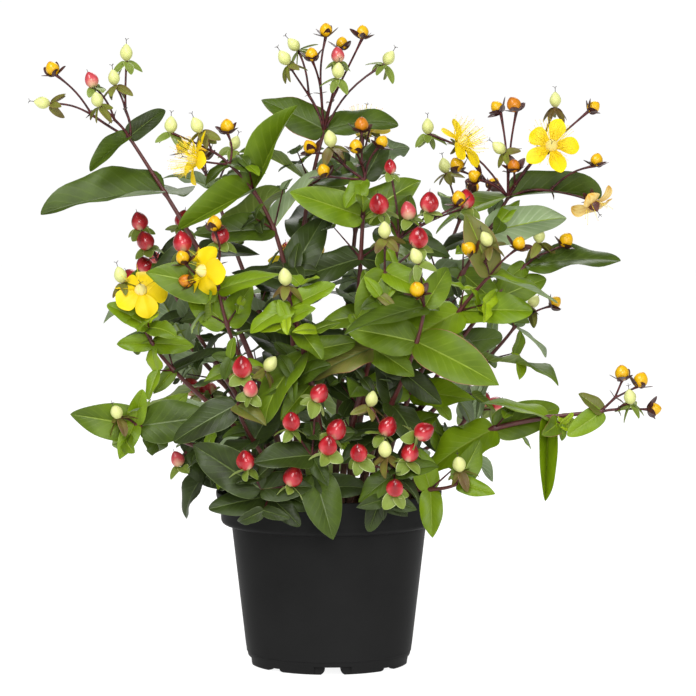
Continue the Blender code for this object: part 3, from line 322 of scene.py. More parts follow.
        "foot": (0.021, 0.021), "fork": (0.090, 0.090, 0.292), "lean": 30, "bare": 0.26,
        "pairs": 4, "crowd": 0.9, "leaf": 0.066, "spin": 70, "tone": "mid", "side": "back",
        "truss": "BCB", "turn": 115, "wide": 44, "reach": 0.034,
    },
    "back_left": {
        "foot": (-0.031, 0.028), "fork": (-0.118, 0.104, 0.232), "lean": 40, "bare": 0.24,
        "pairs": 4, "crowd": 0.9, "leaf": 0.062, "spin": 45, "tone": "mid", "side": "back",
        "truss": "RPR", "turn": 90, "wide": 44, "reach": 0.030,
    },
    "back_mid": {
        "foot": (-0.008, 0.040), "fork": (-0.022, 0.136, 0.240), "lean": 34, "bare": 0.24,
        "pairs": 4, "crowd": 0.9, "leaf": 0.062, "spin": 20, "tone": "fresh", "side": "back",
        "truss": "FBR", "turn": 65, "wide": 44, "reach": 0.032,
    },
    "back_right": {
        "foot": (0.038, 0.020), "fork": (0.128, 0.088, 0.218), "lean": 44, "bare": 0.24,
        "pairs": 4, "crowd": 0.9, "leaf": 0.062, "spin": 80, "tone": "mid", "side": "back",
        "truss": "CRB", "turn": 125, "wide": 44, "reach": 0.030,
    },
    "back_low_left": {
        "foot": (-0.034, 0.044), "fork": (-0.076, 0.110, 0.158), "lean": 52, "bare": 0,
        "pairs": 3, "crowd": 0.9, "leaf": 0.056, "spin": 0, "tone": "dark", "side": "back",
        "truss": "RRR", "turn": 45, "wide": 44, "reach": 0.026,
    },
    "back_low": {
        "foot": (0.008, 0.054), "fork": (0.020, 0.128, 0.156), "lean": 52, "bare": 0,
        "pairs": 3, "crowd": 0.9, "leaf": 0.056, "spin": 30, "tone": "fresh", "side": "back",
        "truss": "RPR", "turn": 75, "wide": 44, "reach": 0.026,
    },
    "back_low_right": {
        "foot": (0.040, 0.040), "fork": (0.094, 0.098, 0.152), "lean": 52, "bare": 0,
        "pairs": 3, "crowd": 0.9, "leaf": 0.054, "spin": 60, "tone": "dark", "side": "back",
        "truss": "RCR", "turn": 105, "wide": 44, "reach": 0.026,
    },
}

# The growth rule's own sizes, the same as the source's.
growth = {
    "soilHeight": 0.106,
    "gap": 0.0003,
    "footRadius": 0.0023,
    "lowFootRadius": 0.0017,
    "forkRadius": 0.0011,
    "stalkSink": 0.0008,
    "stalkRadius": 0.0007,
    "stalkRootRadius": 0.0009,
    "pathSteps": 24,
    "pathPull": 0.36,
    "pathLean": 0.28,
    "crownRadius": 0.17,
    "leafWidth": 0.60,
    "leafThickness": 0.018,
    "leafOpen": math.radians(62),
    "leafDroop": math.radians(22),
    "leafFold": math.radians(17),
    "leafSag": 0.02,
    "leafRing": 0.38,
    "leafSink": 0.0004,
    "openSway": 0.16,
    "rollSway": 0.35,
    "lengths": (0.90, 1.08),
    "widths": (0.90, 1.12),
    "droops": (0.5, 1.6),
    "folds": (0.6, 1.4),
    "petalRing": 0.62,
    "petalSeat": 0.8,
    "petalLift": 0.35,
    "petalThickness": 0.05,
    "petalDroop": 0.35,
    "petalFold": -0.12,
    "clearance": 0.0005,
    "easings": ((0, 0), (0.22, 0.15), (-0.22, -0.15), (0.42, -0.3), (-0.42, 0.3), (0, 0)),
    "easedShorter": 0.05,
    "lowestLeaf": 0.76,
    "topLeaf": 0.70,
    "light": Vector((0, -0.30, 0.60)),
    "steepArm": 18,
    "topArm": 0.62,
    "armFoot": 0.6,
    "armLight": 0.6,
    "armSway": 0.2,
    "leanSway": 0.1,
    "armReach": (0.82, 1.0),
    "armRise": Vector((0, -0.15, 0.5)),
    "aimedDroop": 0.6,
    "ovaryRadius": 0.0044,
    "ovaryLength": 2.2,
    "ovaryWidth": 2,
}
trussItems = {
    "R": {"form": "berry", "length": 0.0145, "width": 0.0130},
    "P": {"form": "berry", "length": 0.0125, "width": 0.0105},
    "S": {"form": "berry", "length": 0.0112, "width": 0.0090},
    "C": {"form": "capsule", "length": 0.0120, "width": 0.0092},
    "B": {"form": "bud", "length": 0.0108, "width": 0.0102},
    "F": {"form": "flower", "length": 0.0180, "width": 0.0110},
    "W": {"form": "flower", "length": 0.0130, "width": 0.0080},
}
# Leaves that the photograph shows half shut: the shoot, the place in its aims and degrees
halfShut = {
    ("far_left", 1): 35, ("far_left", 2): 18, ("left_flowering", 2): 38,
    ("left_flowering", 3): 46, ("left_flowering", 5): 52, ("right_flowering", 1): 38,
    ("far_right_low", 3): 50,
}
# Where a fruit's few-faced body is widest, as shares of its length and width
bellies = {
    "berry": ((0.24, 1.00), (0.68, 0.86)),
    "capsule": ((0.24, 1.00), (0.66, 0.70)),
    "bud": ((0.50, 1.10),),
}

newBlade = namedtuple("newBlade", "root along normal length width thickness droop fold ring")
newSolid = namedtuple("newSolid", "owner tree centre radius")


# Paths and the growth rule


def alongPath(points, share):
    lengths = [(b - a).length for a, b in zip(points, points[1:])]
    left = share * sum(lengths)
    for a, b, length in zip(points, points[1:], lengths):
        if left <= length or b is points[-1]:
            return a.lerp(b, left / length), (b - a).normalized()
        left -= length


def stemPath(shoot):
    foot = Vector((*shoot["foot"], growth["soilHeight"] + growth["gap"]))
    fork = Vector(shoot["fork"])
    span = (fork - foot).length
    out = Vector((fork.x - foot.x, fork.y - foot.y, 0)).normalized()
    lean = math.radians(shoot["lean"])
    tip = up * math.cos(lean) + out * math.sin(lean)
    rise = (up + out * growth["pathLean"] * math.sin(lean)).normalized()
    pull = growth["pathPull"]
    return interpolate_bezier(
        foot, foot + rise * span * pull, fork - tip * span * pull, fork, growth["pathSteps"]
    )


def stemRadius(shoot, share):
    thick = growth["footRadius"] if shoot["bare"] else growth["lowFootRadius"]
    return thick + (growth["forkRadius"] - thick) * share


def acrossStem(stem):
    across = stem.cross(up)
    if across.length < 0.05:
        across = Vector((1, 0, 0))
    across.normalize()
    return across, across.cross(stem).normalized()


def pictureDirection(bearing, tilt):
    flat, near = math.radians(bearing), math.radians(tilt)
    return Vector(
        (math.cos(flat) * math.cos(near), -math.sin(near), math.sin(flat) * math.cos(near))
    )


def outFrom(axis, bearing):
    # the way out from an axis at this bearing around it
    turn = axis.to_track_quat("Z", "Y").to_matrix()
    return turn @ Vector((math.cos(bearing), math.sin(bearing), 0))


def aimedBlade(blade, node, bearing, tilt, length, face):
    along = pictureDirection(bearing, tilt)
    facing = pictureDirection(90, 90 - face)
    return blade._replace(
        root=node - along * growth["leafSink"],
        along=along,
        normal=(facing - along * facing.dot(along)).normalized(),
        length=length,
        width=length * growth["leafWidth"],
        thickness=length * growth["leafThickness"],
        droop=growth["leafDroop"] * growth["aimedDroop"],
    )


def leafBlade(node, stem, turn, length, rng):
    across, beside = acrossStem(stem)
    out = across * math.cos(turn) + beside * math.sin(turn)
    opened = growth["leafOpen"] + rng.uniform(-growth["openSway"], growth["openSway"])
    along = stem * math.cos(opened) + out * math.sin(opened) - up * growth["leafSag"]
    along.normalize()
    outward = Vector((node.x, node.y, 0)) / growth["crownRadius"]
    facing = stem * 0.5 + growth["light"] + outward * 0.5
    normal = (facing - along * facing.dot(along)).normalized()
    roll = Matrix.Rotation(rng.uniform(-growth["rollSway"], growth["rollSway"]), 3, along)
    sink = growth["leafSink"]
    return newBlade(
        root=node - out * sink + stem * rng.uniform(-sink, sink),
        along=along,
        normal=roll @ normal,
        length=length * rng.uniform(*growth["lengths"]),
        width=length * growth["leafWidth"] * rng.uniform(*growth["widths"]),
        thickness=length * growth["leafThickness"],
        droop=growth["leafDroop"] * rng.uniform(*growth["droops"]),
        fold=growth["leafFold"] * rng.uniform(*growth["folds"]),
        ring=growth["leafRing"],
    )


def eased(blade, step):
    tilt, swing = growth["easings"][step]
    side = blade.along.cross(blade.normal)
    turn = Matrix.Rotation(tilt, 3, side) @ Matrix.Rotation(swing, 3, blade.normal)
    shorter = 1 - growth["easedShorter"] * step
    return blade._replace(
        along=turn @ blade.along,
        normal=turn @ blade.normal,
        length=blade.length * shorter,
        width=blade.width * shorter,
    )


def knotShares(shoot):
    # where the pairs of leaves stand, as shares of the path's length
    pairs = shoot["pairs"]
    start = shoot["bare"]
    first = start + (0.10 if start else 0.30) * (1 - start)
    return [first + (1 - first) * (i / (pairs - 1)) ** shoot["crowd"] for i in range(pairs)]


def leafNodes(shoot, path):
    pairs = shoot["pairs"]
    for i, knot in enumerate(knotShares(shoot)):
        share = i / (pairs - 1)
        place, stem = alongPath(path, knot)
        size = growth["lowestLeaf"] + (1 - growth["lowestLeaf"]) * min(1, 2 * share)
        if i == pairs - 1:
            size = growth["topLeaf"]
        turn = math.radians(shoot["spin"] + 90 * (pairs - 1 - i))
        yield place, stem, turn, shoot["leaf"] * size


def seenArms(shoot, fork, stem):
    root = fork - stem * growth["stalkSink"]
    for letter, bearing, tilt, reach, *faced in shoot["arms"]:
        direction = pictureDirection(bearing, tilt)
        out = direction - stem * direction.dot(stem)
        facing = pictureDirection(*faced) if faced else direction * 0.5 + growth["armRise"]
        start = root + out * growth["forkRadius"] * growth["armFoot"]
        yield letter, start, fork + direction * reach, facing.normalized()


def trussArms(shoot, fork, stem, rng):
    letters = shoot["truss"]
    reach = shoot["reach"]
    across, beside = acrossStem(stem)
    root = fork - stem * growth["stalkSink"]
    arms = [(letters[0], root, fork + stem * reach * growth["topArm"], stem)]
    spread = math.radians(shoot["turn"])
    for i, letter in enumerate(letters[1:]):
        turn = spread + 2 * math.pi * i / max(1, len(letters) - 1)
        turn += rng.uniform(-growth["armSway"], growth["armSway"])
        out = across * math.cos(turn) + beside * math.sin(turn)
        lean = math.radians(growth["steepArm"] if i % 2 else shoot["wide"])
        lean += rng.uniform(-growth["leanSway"], growth["leanSway"])
        direction = stem * math.cos(lean) + out * math.sin(lean)
        end = fork + direction * reach * rng.uniform(*growth["armReach"])
        facing = (direction + growth["light"] * growth["armLight"]).normalized()
        start = root + out * growth["forkRadius"] * growth["armFoot"]
        arms.append((letter, start, end, facing))
    return arms


# Keeping apart: each leaf and fruit is tried as the few faces that its solid has.


def kite(blade, outline, grow=0.0):
    side = blade.along.cross(blade.normal).normalized()

    def station(u):
        bend = blade.droop * u
        run = blade.length * math.sin(bend) / blade.droop
        drop = blade.length * (1 - math.cos(bend)) / blade.droop
        return blade.root + blade.along * run - blade.normal * drop

    u = blade.ring
    normal = blade.normal * math.cos(blade.droop * u) + blade.along * math.sin(blade.droop * u)
    half = blade.width / 2 * outline(u) + grow
    lift = normal * half * math.sin(blade.fold)
    thick = normal * (blade.thickness / 2 + grow)
    points = [
        blade.root,
        station(u) + side * half * math.cos(blade.fold) + lift,
        station(u) + thick,
        station(u) - side * half * math.cos(blade.fold) + lift,
        station(u) - thick,
        station(1) + blade.along * grow,
    ]
    faces = []
    for i in range(4):
        faces += [(0, 1 + i, 1 + (i + 1) % 4), (5, 1 + (i + 1) % 4, 1 + i)]
    return points, faces


def turnedProxy(stations, sides):
    points = []
    for place, direction, radius in stations:
        turn = direction.to_track_quat("Z", "Y").to_matrix()
        for i in range(sides):
            bearing = 2 * math.pi * i / sides
            ring = Vector((math.cos(bearing), math.sin(bearing), 0)) * radius
            points.append(place + turn @ ring)
    faces = []
    for row in range(len(stations) - 1):
        for i in range(sides):
            a, b = row * sides + i, row * sides + (i + 1) % sides
            faces.append((a, b, b + sides, a + sides))
    return points, faces


def stalkedProxy(root, seat, facing, form, length, width, grow=0.0):
    along = (seat - root).normalized()
    stations = [
        (root - along * grow, along, growth["stalkRootRadius"] + grow),
        (seat, (along + facing).normalized(), growth["stalkRadius"] + grow),
    ]
    for upShare, acrossShare in bellies[form]:
        place = seat + facing * length * upShare
        stations.append((place, facing, width / 2 * acrossShare + grow))
    stations.append((seat + facing * (length + grow), facing, 0))
    return turnedProxy(stations, 4)


def petalBlades(item, seat, facing):
    lift = growth["petalLift"]
    for i in range(5):
        out = outFrom(facing, 2 * math.pi * i / 5)
        yield newBlade(
            root=seat + facing * growth["ovaryRadius"] * growth["petalSeat"],
            along=(out + facing * lift).normalized(),
            normal=(facing - out * lift).normalized(),
            length=item["length"],
            width=item["width"],
            thickness=item["length"] * growth["petalThickness"],
            droop=growth["petalDroop"],
            fold=growth["petalFold"],
            ring=growth["petalRing"],
        )


def ovate(u):
    return math.sin(math.pi * u**0.68) ** 0.8


def obovate(u):
    return math.sin(math.pi * u**1.5) ** 0.8 if 0 < u < 1 else 0


def itemProxies(letter, root, seat, facing, grow=0.0):
    item = trussItems[letter]
    if item["form"] != "flower":
        size = (item["length"], item["width"])
        return [stalkedProxy(root, seat, facing, item["form"], *size, grow)]
    radius = growth["ovaryRadius"]
    size = (radius * growth["ovaryLength"], radius * growth["ovaryWidth"])
    made = [stalkedProxy(root, seat, facing, "bud", *size, grow)]
    return made + [kite(blade, obovate, grow) for blade in petalBlades(item, seat, facing)]


def solidOf(owner, points, faces):
    low = Vector(map(min, zip(*points)))
    high = Vector(map(max, zip(*points)))
    tree = BVHTree.FromPolygons(points, faces)
    return newSolid(owner, tree, (low + high) / 2, (high - low).length / 2)


def isClear(proxy, owner, solids):
    test = solidOf(owner, *proxy)
    return not any(
        solid.owner != owner
        and (solid.centre - test.centre).length < solid.radius + test.radius
        and solid.tree.overlap(test.tree)
        for solid in solids
    )


def easedLeaf(wanted, owner, solids):
    for step in range(len(growth["easings"])):
        tried = eased(wanted, step)
        if isClear(kite(tried, ovate, growth["clearance"]), owner, solids):
            return tried
    return None


def nodeSolid(name):
    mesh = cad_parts[name].data
    points = [v.co.copy() for v in mesh.vertices]
    return solidOf(name, points, [tuple(p.vertices) for p in mesh.polygons])


def wantedLeaves(name, shoot, path):
    # A leaf that the photograph aims comes with its tone, and the others with None
    rng = random.Random(name + " leaves")
    aims = shoot.get("aims", ())
    for pair, (place, stem, turn, length) in enumerate(leafNodes(shoot, path)):
        for side in (0, 1):
            blade = leafBlade(place, stem, turn + math.pi * side, length, rng)
            order = 2 * (shoot["pairs"] - 1 - pair) + side
            if order < len(aims):
                *aim, tone = aims[order]
                shut = blade.fold + math.radians(halfShut.get((name, order), 0))
                yield pair, aimedBlade(blade, place, *aim)._replace(fold=shut), tone
            else:
                yield pair, blade, None


def growPlant():
    paths = {name: stemPath(shoot) for name, shoot in shoots.items()}
    solids = [nodeSolid("pot"), nodeSolid("potting_mix")]
    for name, shoot in shoots.items():
        if shoot["bare"]:
            solids.append(nodeSolid("stem_" + name))
        stations = []
        for i in range(4):
            share = shoot["bare"] + (1 - shoot["bare"]) * i / 3
            place, direction = alongPath(paths[name], share)
            stations.append((place, direction, stemRadius(shoot, share)))
        solids.append(solidOf(name, *turnedProxy(stations, 4)))
    fruits = []
    for name, shoot in shoots.items():
        rng = random.Random(name + " truss")
        fork, stem = alongPath(paths[name], 1)
        if "arms" in shoot:
            arms = seenArms(shoot, fork, stem)
        else:
            arms = trussArms(shoot, fork, stem, rng)
        for letter, root, seat, facing in arms:
            tests = itemProxies(letter, root, seat, facing, growth["clearance"])
            if all([isClear(test, name, solids) for test in tests]):
                solids += [solidOf(name, *p) for p in itemProxies(letter, root, seat, facing)]
                fruits.append((name, letter, root, seat, facing))
    leaves = []
    for seenPass in (True, False):
        for name, shoot in shoots.items():
            for pair, wanted, tone in wantedLeaves(name, shoot, paths[name]):
                if (tone is not None) != seenPass:
                    continue
                blade = easedLeaf(wanted, name, solids)
                if blade:
                    solids.append(solidOf(name, *kite(blade, ovate)))
                    leaves.append((name, pair, blade, tone))
    return paths, solids, fruits, leaves


# Finer twigs in the axils of the leaves, each with small leaves in crossed pairs.
twigs = {
    "share": 0.55,
    "length": (0.010, 0.028),
    "radius": 0.0006,
    "lean": (0.5, 0.9),
    "leaf": (0.015, 0.030),
    "tipLeaf": 0.75,
    "pairs": (1, 2),
    "pairStep": 0.30,
    "droop": 1.2,
}


def growTwig(name, pair, place, along, span, rng, solids, leaves):
    # one twig and its leaves, or nothing where another shoot is in the way
    pairs = rng.randint(*twigs["pairs"])
    tip = place + along * span
    stations = [(place, along, twigs["radius"]), (tip, along, twigs["radius"] / 2)]
    if not isClear(turnedProxy(stations, 4), name, solids):
        return None
    solids.append(solidOf(name, *turnedProxy(stations, 4)))
    first = rng.uniform(0, math.pi)
    for i in range(pairs):
        spot = place + along * span * (1 - twigs["pairStep"] * i)
        size = rng.uniform(*twigs["leaf"]) * (twigs["tipLeaf"] if i == 0 else 1)
        for half in (0, math.pi):
            small = leafBlade(spot, along, first + i * math.pi / 2 + half, size, rng)
            small = small._replace(droop=small.droop * twigs["droop"])
            blade = easedLeaf(small, name, solids)
            if blade:
                solids.append(solidOf(name, *kite(blade, ovate)))
                leaves.append((name, pair, blade, None))
    return tip


def growTwigs(paths, solids):
    made, leaves = [], []
    for name, shoot in shoots.items():
        rng = random.Random(name + " twigs")
        nodes = list(leafNodes(shoot, paths[name]))
        for pair, (place, stem, turn, length) in enumerate(nodes[:-1]):
            across, beside = acrossStem(stem)
            for side in (0, math.pi):
                if rng.random() > twigs["share"]:
                    continue
                out = across * math.cos(turn + side) + beside * math.sin(turn + side)
                lean = rng.uniform(*twigs["lean"])
                along = (stem * math.cos(lean) + out * math.sin(lean)).normalized()
                span = rng.uniform(*twigs["length"])
                tip = growTwig(name, pair, place, along, span, rng, solids, leaves)
                if tip is not None:
                    made.append((name, place, tip))
    return made, leaves


# Heaps: grids of points gathered by kind, then joined and welded into one piece.


def newHeap():
    return {"points": [], "quads": [], "slots": [], "places": [], "cells": [], "count": 0}


def addPatch(heap, grid, slots, flip=False, places=None):
    rows, columns = grid.shape[:2]
    corner = np.arange(rows - 1)[:, None] * columns + np.arange(columns - 1) + heap["count"]
    quads = np.stack([corner, corner + columns, corner + columns + 1, corner + 1], axis=-1)
    if flip:
        # the same first corner, so that both skins of a leaf share their diagonals
        quads = quads[..., [0, 3, 2, 1]]
    if places is None:
        places = (np.linspace(0, 1, columns), np.linspace(0, 1, rows))
    x, y = np.meshgrid(*places)
    heap["points"].append(grid.reshape(-1, 3))
    heap["quads"].append(quads.reshape(-1, 4))
    heap["slots"].append(np.broadcast_to(slots, (rows - 1, columns - 1)).ravel())
    heap["places"].append(np.stack([x, y], axis=-1).reshape(-1, 2))
    heap["cells"].append(np.full(rows * columns, len(heap["cells"])))
    heap["count"] += rows * columns


def buildPiece(name, heap, materials, nodes=(), sharp=50):
    points = np.concatenate(heap["points"]).astype(np.float32)
    quads = np.concatenate(heap["quads"]).astype(np.int32)
    places = np.concatenate(heap["places"])
    cells = np.concatenate(heap["cells"])
    mesh = bpy.data.meshes.new(name)
    mesh.vertices.add(len(points))
    mesh.vertices.foreach_set("co", points.ravel())
    mesh.loops.add(quads.size)
    mesh.loops.foreach_set("vertex_index", quads.ravel())
    mesh.polygons.add(len(quads))
    mesh.polygons.foreach_set("loop_start", np.arange(0, quads.size, 4, dtype=np.int32))
    mesh.polygons.foreach_set("material_index", np.concatenate(heap["slots"]).astype(np.int32))
    mesh.update(calc_edges=True)
    corners = quads.ravel()
    side = math.ceil(math.sqrt(len(heap["cells"])))
    cell = np.stack([cells % side, cells // side], axis=-1)
    for layer, spots in (("place", places), ("OFBake", (cell + 0.04 + 0.92 * places) / side)):
        uv = mesh.uv_layers.new(name=layer)
        uv.data.foreach_set("uv", spots[corners].astype(np.float32).ravel())
    for material in materials:
        mesh.materials.append(material)
    bm = bmesh.new()
    bm.from_mesh(mesh)
    bmesh.ops.remove_doubles(bm, verts=bm.verts, dist=0.000002)
    bm.to_mesh(mesh)
    bm.free()
    mesh.shade_smooth()
    mesh.set_sharp_from_angle(angle=math.radians(sharp))
    piece = bpy.data.objects.new(name, mesh)
    bpy.context.scene.collection.objects.link(piece)
    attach(piece, "root")
    if nodes:
        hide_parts(*nodes)
    triangles = sum(len(p.vertices) - 2 for p in mesh.polygons)
    print(name, "has", triangles, "triangles")
    return piece


def sweep(heap, points, radii, sides, slot, relief=None):
    # A tapering limb with closed ends. relief(turns, shares) swells or pinches its rings.
    points = [Vector(p) for p in points]
    tangents = [
        (points[min(i + 1, len(points) - 1)] - points[max(i - 1, 0)]).normalized()
        for i in range(len(points))
    ]
    side = tangents[0].orthogonal().normalized()
    rings = []
    turns = np.linspace(0, 2 * math.pi, sides + 1)
    shares = np.linspace(0, 1, len(points))
    swell = relief(turns[None, :], shares[:, None]) if relief else 1.0
    swell = np.broadcast_to(swell, (len(points), sides + 1))
    for i, (point, tangent) in enumerate(zip(points, tangents)):
        side = (side - tangent * side.dot(tangent)).normalized()
        other = tangent.cross(side)
        reach = radii[i] * swell[i]
        rings.append(
            np.array(point)
            + np.outer(np.cos(turns) * reach, side)
            + np.outer(np.sin(turns) * reach, other)
        )
    first = np.broadcast_to(np.array(points[0]), rings[0].shape)
    last = np.broadcast_to(np.array(points[-1]), rings[0].shape)
    grid = np.stack([first, *rings, last])
    grid[:, -1] = grid[:, 0]
    ends = np.array([shares[0], *shares, shares[-1]])
    addPatch(heap, grid, slot, flip=True, places=(np.linspace(0, 1, sides + 1), ends))


def revolved(radii, heights, turns):
    # a closed ring of points at each height. radii has a value for each ring or each point.
    reach = np.broadcast_to(radii, (len(heights), len(turns)))
    level = np.broadcast_to(heights[:, None], reach.shape)
    grid = np.stack([reach * np.cos(turns), reach * np.sin(turns), level], axis=-1)
    grid[:, -1] = grid[:, 0]
    return grid


def revolvedProfile(profile, turns):
    # profile is a list of (radius, height)
    radii, heights = np.array(profile, dtype=float).T
    return revolved(radii[:, None], heights, turns)


def turnedBody(heap, root, axis, stations, sides, slots, shape=None):
    # A closed turned body. stations are (height, radius); shape(turns, shares) is its relief.
    turn = np.array(axis.to_track_quat("Z", "Y").to_matrix())
    turns = np.linspace(0, 2 * math.pi, sides + 1)
    heights, radii = np.array(stations, dtype=float).T
    shares = np.linspace(0, 1, len(stations))
    swell = shape(turns[None, :], shares[:, None]) if shape else 1.0
    grid = revolved(radii[:, None] * swell, heights, turns) @ turn.T + np.array(root)
    addPatch(heap, grid, slots, flip=True)


# Leaves and other blades: an upper and an under skin that meet at the rim.


def bladeGrids(blade, look, rows, columns):
    u = rows[:, None]
    v = columns[None, :]
    bend = blade.droop * rows + look["hook"] * rows**3
    steps = np.diff(rows)
    middle = (bend[1:] + bend[:-1]) / 2
    run = np.concatenate([[0], np.cumsum(np.cos(middle) * steps)]) * blade.length
    drop = np.concatenate([[0], np.cumsum(np.sin(middle) * steps)]) * blade.length
    along, normal = np.array(blade.along), np.array(blade.normal)
    side = np.array(blade.along.cross(blade.normal).normalized())
    spine = np.array(blade.root) + run[:, None] * along - drop[:, None] * normal
    risen = np.cos(bend)[:, None] * normal + np.sin(bend)[:, None] * along
    twist = (look["twist"] * rows)[:, None]
    flank = side * np.cos(twist) + risen * np.sin(twist)
    risen = risen * np.cos(twist) - side * np.sin(twist)
    power = look["blunt"] + look["point"] * u**2
    half = blade.width * look["narrow"] / 2
    half = half * np.clip(np.sin(math.pi * u ** look["broadest"]), 0, 1) ** power
    wave = look["wave"] * np.sin(2 * math.pi * (look["waves"] * u + look["phase"] * np.sign(v)))
    lift = math.sin(blade.fold) * np.abs(v) - look["cup"] * np.abs(v) ** 3 + wave * v**2
    spread = math.cos(blade.fold) * v * (1 - look["cup"] * 0.25 * np.abs(v) ** 3)
    groove = look["rib"] * np.exp(-((v / 0.05) ** 2)) * np.sin(math.pi * u) ** 0.5
    top = (
        spine[:, None, :]
        + (half * spread)[..., None] * flank[:, None, :]
        + (half * lift - groove)[..., None] * risen[:, None, :]
    )
    depth = look["thick"] * blade.length * (1 - v**4) * np.sin(math.pi * u) ** 0.5 + groove * 1.6
    depth = np.where(np.abs(v) == 1, 0, depth)
    under = top - depth[..., None] * risen[:, None, :]
    return top, under


def addBlade(heap, blade, look, rows, columns, upper, lower):
    # upper and lower are the slots of the strips from rim to rim
    u = 0.5 - 0.5 * np.cos(np.linspace(0, math.pi, rows))
    v = np.array([-c for c in reversed(columns)] + [0.0] + list(columns))
    places = ((v + 1) / 2, u)
    top, under = bladeGrids(blade, look, u, v)
    addPatch(heap, top, upper, flip=True, places=places)
    addPatch(heap, under, lower, places=places)


# Colours and finishes


def hexColour(text):
    parts = [int(text[i : i + 2], 16) / 255 for i in (0, 2, 4)]
    return (*[p / 12.92 if p <= 0.04045 else ((p + 0.055) / 1.055) ** 2.4 for p in parts], 1)


def addNode(tree, kind, inputs=None, **settings):
    node = tree.nodes.new(kind)
    for key, value in settings.items():
        setattr(node, key, value)
    for key, value in (inputs or {}).items():
        if isinstance(value, bpy.types.NodeSocket):
            tree.links.new(value, node.inputs[key])
        else:
            node.inputs[key].default_value = value
    return node


def mathOf(tree, kind, a, b=0.0, c=0.0):
    node = addNode(tree, "ShaderNodeMath", {0: a, 1: b, 2: c}, operation=kind)
    return node.outputs[0]


def mixColours(tree, share, a, b):
    return addNode(tree, "ShaderNodeMix", {0: share, 6: a, 7: b}, data_type="RGBA").outputs[2]


def spreadOf(tree, value, low, high, start=0.0, end=1.0):
    # the values from low to high, stretched over those from start to end
    ends = {"From Min": low, "From Max": high, "To Min": start, "To Max": end}
    return addNode(tree, "ShaderNodeMapRange", {"Value": value, **ends}).outputs[0]


def newFinish(name, roughness, specular=0.5):
    material = bpy.data.materials.new(name)
    material.use_nodes = True
    tree = material.node_tree
    shader = tree.nodes["Principled BSDF"]
    shader.inputs["Roughness"].default_value = roughness
    shader.inputs["Specular IOR Level"].default_value = specular
    return material, tree, shader


def placeOf(tree):
    mark = addNode(tree, "ShaderNodeUVMap", uv_map="place")
    parts = addNode(tree, "ShaderNodeSeparateXYZ", {0: mark.outputs[0]})
    return parts.outputs[0], parts.outputs[1]


def speckle(tree, scale, detail=2.0):
    spot = addNode(tree, "ShaderNodeTexCoord").outputs["Object"]
    settings = {"Vector": spot, "Scale": scale, "Detail": detail}
    return addNode(tree, "ShaderNodeTexNoise", settings).outputs[0]


def bumpFrom(tree, shader, height, strength, distance):
    settings = {"Height": height, "Strength": strength, "Distance": distance}
    bump = addNode(tree, "ShaderNodeBump", settings)
    tree.links.new(bump.outputs[0], shader.inputs["Normal"])


# Side veins: how many pairs, their slant and curve towards the rim, how thin they are and how
# much they fade there
veinLook = {"pairs": 9, "slant": 0.30, "curve": 0.7, "thin": 9.0, "fade": 0.75}


def leafFinish(name, shade, light, vein, roughness, veinShare=0.20, relief=0.26):
    # shade and light are the two greens that its blotches run between
    material, tree, shader = newFinish(name, roughness, 0.27)
    x, y = placeOf(tree)
    across = mathOf(tree, "ABSOLUTE", mathOf(tree, "MULTIPLY_ADD", x, 2.0, -1.0))
    curved = mathOf(tree, "POWER", across, veinLook["curve"])
    lift = mathOf(tree, "MULTIPLY", curved, veinLook["slant"])
    turns = 2 * math.pi * veinLook["pairs"]
    phase = mathOf(tree, "MULTIPLY", mathOf(tree, "SUBTRACT", y, lift), turns)
    wave = mathOf(tree, "MULTIPLY_ADD", mathOf(tree, "SINE", phase), 0.5, 0.5)
    line = mathOf(tree, "POWER", wave, veinLook["thin"])
    fade = mathOf(tree, "SUBTRACT", 1.0, mathOf(tree, "MULTIPLY", across, veinLook["fade"]))
    veins = mathOf(tree, "MULTIPLY", line, fade)
    blotch = spreadOf(tree, speckle(tree, 55.0), 0.3, 0.7)
    green = mixColours(tree, blotch, hexColour(shade), hexColour(light))
    share = mathOf(tree, "MULTIPLY", veins, veinShare)
    tree.links.new(mixColours(tree, share, green, hexColour(vein)), shader.inputs["Base Color"])
    fine = mathOf(tree, "MULTIPLY_ADD", speckle(tree, 240.0, 4.0), 1.4, veins)
    bumpFrom(tree, shader, fine, relief, 0.0004)
    return material


def plainFinish(name, colour, other, roughness, scale=300.0, specular=0.5, relief=0.0):
    material, tree, shader = newFinish(name, roughness, specular)
    cloud = speckle(tree, scale)
    spread = spreadOf(tree, cloud, 0.35, 0.65)
    mixed = mixColours(tree, spread, hexColour(colour), hexColour(other))
    tree.links.new(mixed, shader.inputs["Base Color"])
    if relief:
        bumpFrom(tree, shader, cloud, relief, 0.0003)
    return material


def rampFinish(name, stops, roughness, specular=0.5, relief=0.15, scale=500.0, lightAndShadeStreaks=0.0):
    # A colour that runs along the piece from its base to its tip
    material, tree, shader = newFinish(name, roughness, specular)
    x, y = placeOf(tree)
    lowered = mathOf(tree, "SUBTRACT", y, 0.03)
    wobble = mathOf(tree, "MULTIPLY_ADD", speckle(tree, scale), 0.06, lowered)
    # lightAndShadeStreaks lays three lengthwise bands round the piece, paler and darker: painted
    # highlight streaks on the lobes and painted shade along the seams between them
    if lightAndShadeStreaks:
        turned = mathOf(tree, "SINE", mathOf(tree, "MULTIPLY", x, 2 * math.pi * 3))
        wobble = mathOf(tree, "MULTIPLY_ADD", turned, lightAndShadeStreaks, wobble)
    ramp = addNode(tree, "ShaderNodeValToRGB", {0: wobble})
    while len(ramp.color_ramp.elements) < len(stops):
        ramp.color_ramp.elements.new(0.5)
    for element, (place, colour) in zip(ramp.color_ramp.elements, stops):
        element.position = place
        element.color = hexColour(colour)
    tree.links.new(ramp.outputs[0], shader.inputs["Base Color"])
    if relief:
        bumpFrom(tree, shader, speckle(tree, 500.0), relief, 0.0002)
    return material


# Pot


